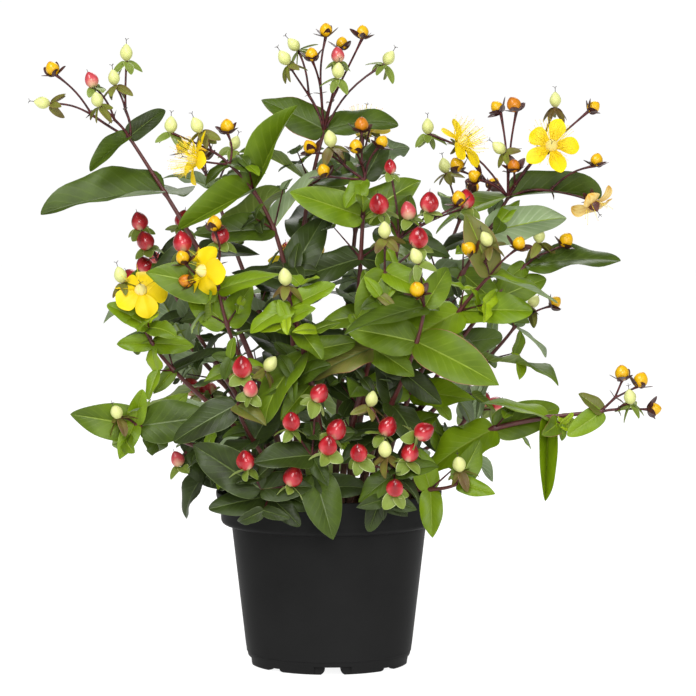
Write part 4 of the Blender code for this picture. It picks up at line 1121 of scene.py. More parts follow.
potSizes = {
    "rimRadius": 0.075,
    "height": 0.115,
    "wall": 0.0014,
    "bandBottomRadius": 0.0717,
    "bandBottom": 0.0980,
    "stepRadius": 0.0645,
    "step": 0.0920,
    "footRadius": 0.0526,
    "footWidth": 0.0035,
    "wallBottomRadius": 0.0554,
    "wallBottom": 0.012,
    "floorUnder": 0.0055,
    "floor": 0.002,
    "padRadius": 0.014,
    "cornerInset": 0.0040,
    "cornerRadius": 0.0025,
    "edgeRadius": 0.0006,
    "padEdgeRadius": 0.0005,
    "bandRadius": 0.0034,
    "segments": 160,
    "notches": 8,
    "notchWidth": 0.0100,
    "notchHeight": 0.005,
    "gapWidth": 0.0085,
    "gapHeight": 0.002,
    "flare": 3.0,
    "turned": math.radians(3),
    "drainRadius": 0.004,
    "drainRing": 0.036,
    "recess": (0.0022, 0.0074, 0.0058),
    "recessOut": 0.0004,
    "recessHeight": 0.0023,
    "recessApart": 0.0086,
    "seamRadius": 0.0546,
    "seamHeight": 0.0086,
}


def arcPoints(centre, radius, start, end, steps):
    return [
        (centre[0] + radius * math.cos(a), centre[1] + radius * math.sin(a))
        for a in (start + (end - start) * i / steps for i in range(steps + 1))
    ]


def potProfile():
    s = potSizes
    quarter = math.pi / 2
    lip = s["wall"] / 2
    corner = s["footRadius"] - s["cornerInset"]
    footInner = s["footRadius"] - s["footWidth"]
    edge, padEdge, bandRadius = s["edgeRadius"], s["padEdgeRadius"], s["bandRadius"]
    inside = [
        (0, s["floorUnder"] + s["floor"]),
        (corner, s["floorUnder"] + s["floor"]),
        *arcPoints((corner, s["floorUnder"] + 0.0045), s["cornerRadius"], -quarter, 0, 5),
        (s["wallBottomRadius"] - s["wall"], s["wallBottom"]),
        (s["stepRadius"] - s["wall"], s["step"]),
        (s["bandBottomRadius"] - s["wall"] - 0.0014, s["step"] + 0.0042),
    ]
    rim = arcPoints((s["rimRadius"] - lip, s["height"] - lip), lip, math.pi, 0, 8)
    # the band swells out a little under the rim, then rounds in to the undercut
    band = [
        (s["rimRadius"] - 0.0001, s["height"] - 0.003),
        (s["bandBottomRadius"] + 0.0003, s["bandBottom"] + 0.004),
    ]
    turnIn = arcPoints(
        (s["bandBottomRadius"] - bandRadius, s["bandBottom"] - 0.0016), bandRadius, 0, -quarter, 8
    )
    wall = [
        (s["stepRadius"] + 0.0016, s["step"] + 0.0004),
        (s["stepRadius"] + 0.0002, s["step"] - 0.0001),
        (s["stepRadius"], s["step"] - 0.0010),
        (s["wallBottomRadius"], s["wallBottom"] + 0.0006),
        (s["wallBottomRadius"] - 0.0003, s["wallBottom"] - 0.0010),
        (s["seamRadius"] + 0.0003, s["seamHeight"] + 0.0004),
        (s["seamRadius"] + 0.0003, s["seamHeight"] - 0.0001),
        (s["seamRadius"] - 0.0002, s["seamHeight"] - 0.0004),
        (s["footRadius"] + 0.0014, s["wallBottom"] - 0.0062),
        (s["footRadius"] + 0.0006, s["wallBottom"] - 0.0075),
    ]
    foot = [
        *arcPoints((s["footRadius"] - edge, edge), edge, 0, -quarter, 3),
        *arcPoints((footInner + edge, edge), edge, -quarter, -math.pi, 3),
        (footInner - 0.0008, s["floorUnder"]),
        (s["padRadius"] + 0.0008, s["floorUnder"]),
        *arcPoints((s["padRadius"] - padEdge, padEdge), padEdge, 0, -quarter, 3),
        (0, 0),
    ]
    return inside + rim + band + turnIn + wall + foot


def placed(bm, bearing, spot=(0, 0, 0)):
    matrix = Matrix.Rotation(bearing, 4, "Z") @ Matrix.Translation(spot)
    bmesh.ops.transform(bm, matrix=matrix, verts=bm.verts)
    return bm


def notchCutter(bearing, width, height):
    # An arch that flares downwards through the foot ring, with rounded shoulders
    s = potSizes
    half = width / 2
    outline = []
    for i in range(9):
        t = i / 8
        flare = half * (1 + (s["flare"] - 1) * (1 - math.sin(t * math.pi / 2)) ** 1.6)
        outline.append((flare, -height * 0.6 + height * 1.6 * t))
    outline = outline + [(-y, z) for y, z in reversed(outline)]
    bm = bmesh.new()
    near, far = s["footRadius"] - s["footWidth"] - 0.004, s["footRadius"] + 0.005
    inner = [bm.verts.new((near, y, z)) for y, z in outline]
    outer = [bm.verts.new((far, y, z)) for y, z in outline]
    bm.faces.new(inner)
    bm.faces.new(outer)
    for i in range(len(outline)):
        j = (i + 1) % len(outline)
        bm.faces.new((inner[i], inner[j], outer[j], outer[i]))
    bmesh.ops.recalc_face_normals(bm, faces=bm.faces)
    return placed(bm, bearing)


def drainCutter(bearing):
    s = potSizes
    radius = s["drainRadius"]
    bm = bmesh.new()
    bmesh.ops.create_cone(
        bm, cap_ends=True, segments=24, radius1=radius, radius2=radius, depth=0.008
    )
    return placed(bm, bearing, (s["drainRing"], 0, s["floorUnder"]))


def recessCutter(bearing):
    # The shallow flat places in the foot's face on both sides of a deep notch
    s = potSizes
    bm = bmesh.new()
    bmesh.ops.create_cube(bm, size=1)
    bmesh.ops.scale(bm, vec=s["recess"], verts=bm.verts)
    return placed(bm, bearing, (s["footRadius"] + s["recessOut"], 0, s["recessHeight"]))


def applied(obj):
    bpy.context.view_layer.update()
    graph = bpy.context.evaluated_depsgraph_get()
    return bpy.data.meshes.new_from_object(obj.evaluated_get(graph))


def cutOut(piece, bm):
    mesh = bpy.data.meshes.new("cutter")
    bm.to_mesh(mesh)
    bm.free()
    cutter = bpy.data.objects.new("cutter", mesh)
    bpy.context.scene.collection.objects.link(cutter)
    cut = piece.modifiers.new("cut", "BOOLEAN")
    cut.operation = "DIFFERENCE"
    cut.object = cutter
    mesh = applied(piece)
    piece.modifiers.clear()
    piece.data = mesh
    bpy.data.objects.remove(cutter)


def makePot():
    s = potSizes
    turns = np.linspace(0, 2 * math.pi, s["segments"] + 1)
    heap = newHeap()
    # a boolean cut needs its faces to point out
    addPatch(heap, revolvedProfile(potProfile(), turns), 0, flip=True)
    pot = buildPiece("pot_shell", heap, [potFinish()], ["pot"], sharp=35)
    for i in range(s["notches"]):
        deep = i % 2 == 0
        bearing = i * 2 * math.pi / s["notches"] + s["turned"]
        sizes = (s["notchWidth"], s["notchHeight"]) if deep else (s["gapWidth"], s["gapHeight"])
        cutOut(pot, notchCutter(bearing, *sizes))
        cutOut(pot, drainCutter(bearing))
        if deep:
            apart = s["recessApart"] / s["footRadius"]
            cutOut(pot, recessCutter(bearing + apart))
            cutOut(pot, recessCutter(bearing - apart))
    pot.data.shade_smooth()
    pot.data.set_sharp_from_angle(angle=math.radians(32))
    print("pot has", len(pot.data.polygons), "faces after its cuts")


def potFinish():
    material, tree, shader = newFinish("black_moulded_plastic", 0.42, 0.015)
    soft = speckle(tree, 26.0, 4.0)
    colour = mixColours(tree, soft, hexColour("1d1d1d"), hexColour("242424"))
    tree.links.new(colour, shader.inputs["Base Color"])
    rough = spreadOf(tree, soft, 0.0, 1.0, 0.36, 0.50)
    tree.links.new(rough, shader.inputs["Roughness"])
    bumpFrom(tree, shader, speckle(tree, 2600.0), 0.12, 0.0002)
    return material


# Potting mix: a lumpy top with chips and fibres on it


soil = {
    "rings": 46,
    "segments": 120,
    "gap": 0.0006,
    "lump": 0.0024,
    "waves": 40,
    "pitch": (40, 420),
    "edgeRise": 0.0010,
    "chips": 1500,
    "chipSpread": 0.97,
    "chipLength": (0.0014, 0.0052),
    "chipWidth": (0.25, 0.55),
    "chipSides": 5,
    "fibres": 420,
    "fibreSpread": 0.95,
    "fibreHeight": (0, 0.0010),
    "fibreSteps": 6,
    "fibreStep": (0.0010, 0.0024),
    "fibreTurn": 0.6,
    "fibreRise": 0.35,
    "fibreRadius": (0.00012, 0.00028),
}


def lumpField(rng):
    # waves that cross at random, the longer ones higher
    waves = [
        (rng.uniform(*soil["pitch"]), rng.uniform(0, 2 * math.pi), rng.uniform(0, 2 * math.pi))
        for _ in range(soil["waves"])
    ]

    def lumps(x, y):
        total = np.zeros_like(x)
        for pitch, bearing, phase in waves:
            way = x * math.cos(bearing) + y * math.sin(bearing)
            total += np.sin(pitch * way + phase) / pitch**0.5
        return total / 1.1

    return lumps


def soilTopRadius():
    # how wide the pot is at the mix, inside its rim band
    s = potSizes
    inside = s["stepRadius"] - s["wall"]
    share = (growth["soilHeight"] - s["step"]) / (s["height"] - s["step"])
    return inside + (s["rimRadius"] - s["wall"] - inside) * min(1, share * 1.25) - soil["gap"]


def scattered(rng, reach):
    # a random place in a round, as likely anywhere in it
    bearing, away = rng.uniform(0, 2 * math.pi), reach * math.sqrt(rng.random())
    return Vector((away * math.cos(bearing), away * math.sin(bearing), 0))


def soilBody(heap, top, lumps):
    s = potSizes
    turns = np.linspace(0, 2 * math.pi, soil["segments"] + 1)
    radii = np.linspace(0, top, soil["rings"])[:, None]
    x, y = radii * np.cos(turns), radii * np.sin(turns)
    height = growth["soilHeight"] - soil["gap"] + soil["lump"] * 0.5 * lumps(x, y)
    height = height + soil["edgeRise"] * (radii / top) ** 6
    upper = np.stack([x, y, height], axis=-1)
    upper[:, -1] = upper[:, 0]
    low = s["floorUnder"] + s["floor"] + 0.0004
    walls = [
        (s["stepRadius"] - s["wall"] - soil["gap"], s["step"]),
        (s["wallBottomRadius"] - s["wall"] - 0.0005, s["wallBottom"]),
        (s["footRadius"] - 0.0050, low),
        (0.0, low),
    ]
    addPatch(heap, np.concatenate([upper, revolvedProfile(walls, turns)]), 0)


def addChips(heap, top, lumps, rng):
    for i in range(soil["chips"]):
        spot = scattered(rng, top * soil["chipSpread"])
        ground = float(lumps(np.array([spot.x]), np.array([spot.y]))[0]) * soil["lump"] * 0.5
        spot.z = growth["soilHeight"] - 0.0004 + ground
        axis = Vector((rng.gauss(0, 1), rng.gauss(0, 1), rng.gauss(0, 0.5))).normalized()
        length = rng.uniform(*soil["chipLength"])
        width = length * rng.uniform(*soil["chipWidth"])
        stations = [
            (-length / 2, 0),
            (-length * 0.38, width / 2),
            (length * 0.36, width * 0.42),
            (length / 2, 0),
        ]
        turnedBody(heap, spot, axis, stations, soil["chipSides"], 1 + (i % 3 == 0))


def addFibres(heap, top, rng):
    bend, rise = soil["fibreTurn"], soil["fibreRise"]
    for _ in range(soil["fibres"]):
        spot = scattered(rng, top * soil["fibreSpread"])
        spot.z = growth["soilHeight"] + rng.uniform(*soil["fibreHeight"])
        heading = rng.uniform(0, 2 * math.pi)
        points, step = [spot.copy()], rng.uniform(*soil["fibreStep"])
        for _ in range(soil["fibreSteps"]):
            heading += rng.uniform(-bend, bend)
            way = Vector((math.cos(heading), math.sin(heading), rng.uniform(-rise, rise)))
            spot = spot + way * step
            if spot.xy.length < top * 0.98:
                points.append(spot.copy())
        if len(points) > 2:
            thin = rng.uniform(*soil["fibreRadius"])
            sweep(heap, points, [thin] * len(points), 4, 3)


def makeSoil():
    rng = random.Random("potting mix")
    top = soilTopRadius()
    lumps = lumpField(rng)
    heap = newHeap()
    soilBody(heap, top, lumps)
    addChips(heap, top, lumps, rng)
    addFibres(heap, top, rng)
    finishes = [
        plainFinish("moist_peat", "1c130d", "2f2117", 0.95, 700.0, 0.2, 1.0),
        plainFinish("bark_chip", "2a1a10", "46301f", 0.90, 500.0, 0.2, 0.6),
        plainFinish("dark_chip", "150e0a", "241811", 0.92, 500.0, 0.2, 0.6),
        plainFinish("root_fibre", "5a432c", "3a2818", 0.90, 500.0, 0.2, 0.3),
    ]
    buildPiece("potting_mix_top", heap, finishes, ["potting_mix"], sharp=70)


# Stems with the bark's relief, and plain fine twigs


barkLook = {
    "sides": 12,
    "spacing": 0.0016,
    "ridge": 0.07,
    "rough": 0.05,
    "pitch": (40, 60),
    "nodeSwell": 0.42,
    "nodeLength": 0.0022,
    "oldShare": 0.06,
    "lowOldShare": 0.2,
}
barks = {
    "brown_bark": {
        "roughness": 0.62, "specular": 0.35, "stretch": (9.0, 14.0), "scale": 2.2, "detail": 5.0,
        "colours": ("1e1210", "74503f"), "strength": 0.6, "distance": 0.0004,
    },
    "maroon_bark": {
        "roughness": 0.42, "specular": 0.45, "stretch": (5.0, 20.0), "scale": 1.6, "detail": 3.0,
        "colours": ("2a0e0f", "6e3430"), "strength": 0.3, "distance": 0.0003,
    },
}


def barkFinish(name):
    look = barks[name]
    material, tree, shader = newFinish(name, look["roughness"], look["specular"])
    x, y = placeOf(tree)
    across, along = look["stretch"]
    drawn = {0: mathOf(tree, "MULTIPLY", x, across), 1: mathOf(tree, "MULTIPLY", y, along)}
    spot = addNode(tree, "ShaderNodeCombineXYZ", drawn).outputs[0]
    settings = {"Vector": spot, "Scale": look["scale"], "Detail": look["detail"]}
    noise = addNode(tree, "ShaderNodeTexNoise", settings).outputs[0]
    colour = mixColours(tree, noise, *[hexColour(text) for text in look["colours"]])
    tree.links.new(colour, shader.inputs["Base Color"])
    bumpFrom(tree, shader, noise, look["strength"], look["distance"])
    return material


def barkRelief(tilt, pitch):
    def relief(turns, shares):
        ridges = barkLook["ridge"] * np.cos(2 * (turns + tilt))
        old = np.clip(1.2 - 2.0 * shares, 0.15, 1)
        rough = np.sin(5 * turns + 3 * np.sin(pitch * shares))
        rough = rough * np.sin(7 * turns + 2.3 * pitch * shares)
        return 1 + ridges + barkLook["rough"] * old * rough

    return relief


def makeStems(paths):
    heap = newHeap()
    for name, shoot in shoots.items():
        rng = random.Random(name + " bark")
        path = paths[name]
        length = sum((b - a).length for a, b in zip(path, path[1:]))
        count = max(20, int(length / barkLook["spacing"]))
        knots = knotShares(shoot)
        points, radii = [], []
        for i in range(count):
            share = i / (count - 1)
            points.append(alongPath(path, share)[0])
            radius = stemRadius(shoot, share)
            for knot in knots:
                away = (share - knot) * length / barkLook["nodeLength"]
                radius *= 1 + barkLook["nodeSwell"] * math.exp(-away * away)
            radii.append(radius)
        tilt, pitch = rng.uniform(0, 6.28), rng.uniform(*barkLook["pitch"])
        start = shoot["bare"]
        split = int(count * (start + barkLook["oldShare"] if start else barkLook["lowOldShare"]))
        slots = np.where(np.arange(count + 1) < split, 0, 1)[:, None]
        sweep(heap, points, radii, barkLook["sides"], slots, barkRelief(tilt, pitch))
    nodes = ["stem_" + name for name, shoot in shoots.items() if shoot["bare"]]
    finishes = [barkFinish(name) for name in barks]
    buildPiece("stems_bark", heap, finishes, nodes, sharp=70)


maroonStalk = ("maroon_stalk", "2e1012", "562224", 0.42, 420.0, 0.3, 0.2)


def makeTwigs(made):
    heap = newHeap()
    for name, place, tip in made:
        points = [place.lerp(tip, i / 5) for i in range(6)]
        radii = [twigs["radius"] * (1.25 - 0.6 * i / 5) for i in range(6)]
        sweep(heap, points, radii, 6, 0)
    buildPiece("fine_twigs", heap, [plainFinish(*maroonStalk)])


# Leaves


leafLook = {
    "narrow": 0.92,
    "broadest": 0.63,
    "blunt": 0.40,
    "point": 0.34,
    "cup": 0.16,
    "thick": 0.0060,
    "rib": 0.00030,
}
# What each leaf draws for itself, in this order. A value that leafLook has is scaled by it.
leafRanges = {
    "hook": (-0.1, 0.70),
    "point": (0.10, 1.60),
    "twist": (-0.60, 0.60),
    "wave": (0.06, 0.20),
    "waves": (1.1, 2.3),
    "phase": (0, 1),
    "narrow": (0.88, 1.14),
    "broadest": (0.90, 1.15),
}
# Half a leaf's columns of points from its rib to its rim, and its rows from foot to tip
leafMesh = {
    "main": {"columns": (0.035, 0.25, 0.50, 0.74, 0.972, 1.0), "rows": 22},
    "small": {"columns": (0.06, 0.5, 0.95, 1.0), "rows": 12},
}
leafChances = {
    "fresher": 0.35,
    "red": 0.12,
    "bronze": 0.25,
    "greenBelow": 0.25,
    # paintedRimHighlight is the share of leaves whose rim strip is painted in the pale rib colour,
    # as painted highlight along the margin
    "paintedRimHighlight": 0.6,
}
# Upper green, its lighter blotch and its veins, then the roughness
leafTones = {
    "dark": ("222a0c", "334312", "4a5c20", 0.45),
    "deep": ("324208", "475c0c", "64782a", 0.46),
    "mid": ("475c06", "5e7606", "7d8f2a", 0.45),
    "fresh": ("5a7406", "728c06", "8c9e2c", 0.42),
    "young": ("76900e", "8ca212", "a8b644", 0.38),
    "bronze": ("525c1c", "6e6c30", "8e5a44", 0.44),
}
underTones = {
    "pale": ("82966a", "98aa7e", "b8c6a4", 0.60),
    "green": ("677d2e", "7b8f3a", "9fb05c", 0.55),
}
ribTones = {
    "leaf_rib": ("74881e", "82962a", 0.45),
    "leaf_rib_dark": ("465622", "54642a", 0.45),
    "leaf_rim_red": ("804a3c", "93603f", 0.45),
}
toneChoices = {
    "dark": ("dark", "dark", "dark", "deep"),
    "deep": ("deep", "deep", "mid", "dark"),
    "mid": ("mid", "mid", "deep", "fresh"),
    "fresh": ("fresh", "fresh", "young", "mid"),
}
ladder = ("dark", "deep", "mid", "fresh", "young")


def leafFinishes():
    uppers = [leafFinish("leaf_" + n, *tones) for n, tones in leafTones.items()]
    unders = [leafFinish("underleaf_" + n, *tones, 0.5, 0.4) for n, tones in underTones.items()]
    return uppers + unders + [plainFinish(n, *tones) for n, tones in ribTones.items()]


def toneOf(shoot, pair, rng):
    # Lower leaves are older and shaded, so they are darker
    tone = rng.choice(toneChoices[shoot["tone"]])
    height = pair / (shoot["pairs"] - 1)
    step = 0 if height > 0.6 else (1 if height > 0.3 else 2)
    return ladder[max(0, ladder.index(tone) - step)]


def leafStrips(tone, aimed, halfCount, rng):
    # the slots of a leaf's upper and under strips from rim to rim
    names = list(leafTones)
    ribs = len(names) + len(underTones)
    red = tone == "bronze" or (tone in ("deep", "mid") and rng.random() < leafChances["red"])
    upper = names.index("bronze" if red and rng.random() < leafChances["bronze"] else tone)
    greenBelow = rng.random() < leafChances["greenBelow"]
    lower = len(names) + (greenBelow and not aimed)
    rib = ribs + (tone in ("dark", "deep"))
    # a red rim is the leaf's own colour; a pale rim in the rib's colour is painted highlight where
    # the margin catches the light
    if red:
        rim = ribs + 2
    else:
        rim = rib if rng.random() < leafChances["paintedRimHighlight"] else upper
    tops = [rim, *[upper] * (halfCount - 2), rib]
    unders = [lower] * (halfCount - 1) + [rib]
    return [np.array(half + half[::-1])[None, :] for half in (tops, unders)]


def makeLeaves(leaves, small):
    finishes = leafFinishes()
    heaps = {}
    looks = random.Random("leaf looks")
    for kind, group in (("main", leaves), ("small", small)):
        columns, rows = leafMesh[kind]["columns"], leafMesh[kind]["rows"]
        for name, pair, blade, aimedTone in group:
            shoot = shoots[name]
            heap = heaps.setdefault(shoot["side"], newHeap())
            tone = aimedTone or toneOf(shoot, pair, looks)
            if kind == "small" and looks.random() < leafChances["fresher"] and tone != "dark":
                tone = "young" if tone in ("fresh", "young") else "fresh"
            strips = leafStrips(tone, aimedTone, len(columns), looks)
            look = dict(leafLook)
            for key, ends in leafRanges.items():
                look[key] = looks.uniform(*ends) * leafLook.get(key, 1)
            addBlade(heap, blade, look, rows, columns, *strips)
    for side, heap in heaps.items():
        nodes = ["foliage_" + name for name, shoot in shoots.items() if shoot["side"] == side]
        buildPiece("leaves_" + side, heap, finishes, nodes, sharp=60)


# Trusses: stalks, berries, capsules, buds and flowers


def lobed(turns, shares):
    # three shallow seams run from the base to the tip
    seam = np.abs(np.cos(1.5 * turns)) ** 8
    return 1 - 0.07 * seam * np.sin(math.pi * shares) ** 0.6


def twisted(turns, shares):
    # the five rolled petals overlap in a spiral
    saw = np.mod(5 * turns / (2 * math.pi) + 1.1 * shares, 1)
    return 1 - 0.055 * saw**3 * np.sin(math.pi * shares) ** 0.7


stalkLook = {
    "radius": 0.00070,
    "sharedSwell": 1.3,
    "pairAngle": math.radians(34),
    "joint": 0.52,
    "bow": (-0.02, 0.11),
    "bract": 0.0080,
    "bractLength": (0.7, 1.2),
    "bractWidth": 0.55,
}
styleLook = {
    "radii": (0.00028, 0.00020, 0.00016, 0.00020),
    "sway": 0.3,
    "forked": 0.42,
    "single": 0.10,
}
# least is the smallest random scale, wide the width's share, and peak and power the outline.
# sepals are sized by a share of the fruit's length and a fixed part. odd is the share of capsules
# with greener sepals and of orange buds.
fruitForms = {
    "berry": {
        "piece": "berries", "least": 0.86, "wide": 1.0, "peak": 0.80, "power": 0.60,
        "sides": 24, "relief": lobed, "sepals": (0.86, 0), "style": 0.0022,
    },
    "capsule": {
        "piece": "capsules", "least": 0.88, "wide": 0.96, "peak": 0.88, "power": 0.74,
        "sides": 24, "relief": lobed, "sepals": (1, 0), "style": 0.0042, "odd": 0.35,
    },
    "bud": {
        "piece": "buds", "least": 0.84, "wide": 0.94, "peak": 0.90, "power": 0.60,
        "sides": 30, "relief": twisted, "sepals": (0, 0.0118), "odd": 0.18,
    },
}
fruitRows = 18
# length and width as shares of the size given, lean from the stalk's way on, droop and roll
sepalLooks = {
    "berry": {"length": 0.90, "width": 0.70, "open": 1.80, "droop": 0.50, "roll": 0.8},
    "capsule": {"length": 1.10, "width": 0.60, "open": 2.10, "droop": 0.25, "roll": 0.8},
    "bud": {"length": 0.84, "width": 0.56, "open": 1.00, "droop": -0.10, "roll": 0.4},
    "flower": {"length": 0.42, "width": 0.24, "open": 1.9, "droop": 0.3, "roll": 0.8},
}
sepalSway = {
    "out": 0.0009,
    "bearing": 0.15,
    "open": 0.30,
    "scale": (0.78, 1.10),
    "width": (0.85, 1.1),
    "droop": 0.2,
    "fold": 0.2,
    "wave": (0, 0.06),
    "twist": 0.3,
}
sepalMesh = {"rows": 10, "columns": (0.12, 0.55, 0.9, 1.0)}
plainLook = {
    "narrow": 1.0, "broadest": 0.62, "blunt": 0.7, "point": 0.5, "cup": 0.1, "thick": 0.03,
    "rib": 0.00006, "hook": 0.2, "twist": 0.0, "wave": 0.03, "waves": 1.0, "phase": 0.2,
}
sepalShape = dict(plainLook, blunt=0.44, point=0.16)
petalShape = dict(plainLook, broadest=1.65, blunt=0.66, point=0.0, cup=-0.16, thick=0.014)
flowerLook = {
    "ovaryLength": 2.3,
    "ovaryWidth": 1.9,
    "ovaryPeak": 0.78,
    "ovaryPower": 0.8,
    "ovaryRows": 14,
    "ovarySides": 20,
    "style": 0.0045,
    "columns": (0.1, 0.35, 0.6, 0.85, 1.0),
    "rows": 16,
    "oldDroop": 0.5,
    "stamens": 96,
    "spentStamens": 7,
    "stamenLength": (0.011, 0.0175),
    "stamenLean": (0.25, 1.05),
    "stamenCurl": (-0.25, 0.15),
    "filament": 0.00014,
    "anther": 0.00030,
}
# What each petal draws for itself, in this order. The first two scale its size.
petalSizes = {
    "length": (0.98, 1.20),
    "width": (1.0, 1.2),
    "droop": (-0.15, 0.5),
    "fold": (-0.25, -0.05),
}
petalForms = {
    "wave": (0.05, 0.14),
    "waves": (0.6, 1.5),
    "twist": (-0.35, 0.35),
    "hook": (-0.1, 0.5),
}
# A withered flower's sepals, petals and stamens are scaled by these, and hook bends its petals
withered = {"sepals": 1.3, "length": 1.25, "width": 1.3, "hook": 1.2, "stamens": 0.8}
# these two have lost their stamens, and their petals hang back
oldFlowers = ("left_flower", "left_middle")

greenSlots = (np.array([[1, 0, 0, 0, 0, 0, 0, 1]]), np.array([[2] * 8]))
oliveSlots = (np.array([[4, 3, 3, 3, 3, 3, 3, 4]]), np.array([[3] * 8]))
maroonSlots = (np.array([[5] * 8]), np.array([[5] * 8]))
bractSlots = np.array([[5, 6, 6, 6, 6, 5]])

# Colour stops from the base of a fruit or petal to its tip
ramps = {
    "ripe": (
        (0.0, "dcc49a"), (0.10, "d49a80"), (0.28, "c03c44"), (0.54, "a2101c"), (1.0, "6a0610"),
    ),
    "turning": ((0.0, "d6c898"), (0.25, "d4a686"), (0.55, "be4a50"), (1.0, "a02c34")),
    "skin": ((0.0, "c0b886"), (0.35, "c6ca7c"), (0.8, "d0d48e"), (1.0, "b2b668")),
    "cream": ((0.0, "dccb7a"), (0.5, "e8da90"), (1.0, "dccc74")),
    "bright": ((0.0, "bc780a"), (0.30, "d6a206"), (0.78, "daac0a"), (1.0, "ae640c")),
    "orange": ((0.0, "9a4a10"), (0.35, "c47c0a"), (0.75, "bc6e0c"), (1.0, "7a3a12")),
    "petal": ((0.0, "c8a200"), (0.3, "dec002"), (1.0, "e6ca04")),
    "spent": ((0.0, "7a3a30"), (0.3, "c8a050"), (0.7, "e2c678"), (1.0, "d09c34")),
}
# The pieces of the trusses in the order that they are built, each with what makes its finishes
trussFinishes = {
    "truss_stalks": (
        (plainFinish, *maroonStalk),
        (plainFinish, "dried_style", "1f1410", "3a281c", 0.60, 420.0),
    ),
    "sepals": (
        (leafFinish, "sepal_green", "607224", "768836", "a6b264", 0.45),
        (plainFinish, "sepal_rim", "94a260", "a4b074", 0.45),
        (leafFinish, "sepal_under", "82924a", "96a45e", "aeba7e", 0.5),
        (leafFinish, "sepal_olive", "54381e", "747c2e", "8c8a44", 0.45),
        (plainFinish, "sepal_olive_rib", "6a4630", "7d5c3a", 0.45),
        (plainFinish, "sepal_maroon", "34171a", "4c2420", 0.40, 600.0),
        (plainFinish, "bract_brown", "4a3325", "5f4a2c", 0.45, 600.0),
    ),
    # the last value of each berry finish sets its painted highlight streaks and painted shade along
    # the seams
    "berries": (
        (rampFinish, "berry_ripe", ramps["ripe"], 0.22, 0.5, 0.0, 260.0, 0.20),
        (rampFinish, "berry_turning", ramps["turning"], 0.24, 0.5, 0.0, 260.0, 0.10),
    ),
    "capsules": (
        (rampFinish, "capsule_skin", ramps["skin"], 0.32, 0.35, 0.0),
        (rampFinish, "ovary_skin", ramps["cream"], 0.36, 0.35, 0.0),
        (plainFinish, "ovary_spent", "4c2420", "6a3a2c", 0.45, 500.0),
    ),
    "buds": (
        (rampFinish, "bud_yellow", ramps["bright"], 0.30, 0.4, 0.0, 260.0, 0.06),
        (rampFinish, "bud_orange", ramps["orange"], 0.32, 0.4, 0.0, 260.0, 0.06),
    ),
    "petals": (
        (rampFinish, "petal_yellow", ramps["petal"], 0.50, 0.3, 0.15, 300.0),
        (rampFinish, "petal_spent", ramps["spent"], 0.55, 0.3, 0.3, 300.0, 0.1),
    ),
    "stamens": (
        (plainFinish, "filament_yellow", "ecd008", "f2de2c", 0.5),
        (plainFinish, "anther_yellow", "e0b030", "d89a24", 0.6),
    ),
}
roundPieces = ("berries", "capsules", "buds", "stamens")


def bodyStations(length, width, peak, power, rows):
    stations = []
    for i in range(rows):
        t = 0.5 - 0.5 * math.cos(math.pi * i / (rows - 1))
        stations.append((length * t, width / 2 * max(0, math.sin(math.pi * t**peak)) ** power))
    return stations


def addSepals(heap, form, seat, facing, size, rng, slots):
    look, sway = sepalLooks[form], sepalSway
    start = rng.uniform(0, 2 * math.pi)
    for i in range(5):
        bearing = start + 2 * math.pi * i / 5 + rng.uniform(-sway["bearing"], sway["bearing"])
        out = outFrom(facing, bearing)
        opened = look["open"] + rng.uniform(-sway["open"], sway["open"])
        along = (facing * math.cos(opened) + out * math.sin(opened)).normalized()
        normal = (facing * math.sin(opened) - out * math.cos(opened)).normalized()
        normal = Matrix.Rotation(look["roll"] * rng.uniform(-1, 1), 3, along) @ normal
        scale = rng.uniform(*sway["scale"])
        blade = newBlade(
            root=seat + out * sway["out"],
            along=along,
            normal=normal,
            length=size * look["length"] * scale,
            width=size * look["width"] * scale * rng.uniform(*sway["width"]),
            thickness=0,
            droop=look["droop"] + rng.uniform(-sway["droop"], sway["droop"]),
            fold=sway["fold"],
            ring=0,
        )
        wave, twist = rng.uniform(*sway["wave"]), rng.uniform(-sway["twist"], sway["twist"])
        shape = dict(sepalShape, wave=wave, twist=twist)
        addBlade(heap, blade, shape, sepalMesh["rows"], sepalMesh["columns"], *slots)


def addStyles(heap, tip, facing, rng, length, forked=True):
    for i in range(3 if forked else 1):
        bearing = 2 * math.pi * i / 3 + rng.uniform(-styleLook["sway"], styleLook["sway"])
        out = outFrom(facing, bearing)
        spread = length * styleLook["forked" if forked else "single"]
        points = [
            tip - facing * 0.0006,
            tip + facing * length * 0.45,
            tip + facing * length * 0.7 + out * spread * 0.35,
            tip + facing * length * 0.8 + out * spread,
        ]
        sweep(heap, points, styleLook["radii"], 5, 1)


def pairedArms(arms):
    # The neighbours in a truss whose stalks share their lower part, the closest ones first
    ways = [(seat - root).normalized() for letter, root, seat, facing in arms]
    close = sorted((ways[i].angle(ways[j]), j, i) for i in range(len(arms)) for j in range(i))
    partners = {}
    for angle, i, j in close:
        if angle < stalkLook["pairAngle"] and i not in partners and j not in partners:
            partners[i], partners[j] = j, i
    return partners


def addStalk(heap, start, end, rng, swells):
    # swells are the shares of a stalk's thickness at its start, along it and at its end
    along = (end - start).normalized()
    bow = acrossStem(along)[1] * (end - start).length * rng.uniform(*stalkLook["bow"])
    shares = np.linspace(0, 1, 9)
    points = [start.lerp(end, t) + bow * math.sin(math.pi * t) for t in shares]
    first, middle, last = swells
    radii = stalkLook["radius"] * np.interp(shares, (0, 0.2, 0.8, 1), (first, middle, middle, last))
    sweep(heap, points, list(radii), 8, 0)


def addBracts(heap, spot, along, rng):
    turned = rng.uniform(0, math.pi)
    for half in (0, math.pi):
        length = stalkLook["bract"] * rng.uniform(*stalkLook["bractLength"])
        blade = leafBlade(spot, along, turned + half, length, rng)
        blade = blade._replace(width=blade.width * stalkLook["bractWidth"])
        addBlade(heap, blade, plainLook, 7, (0.12, 0.6, 1.0), bractSlots, bractSlots)


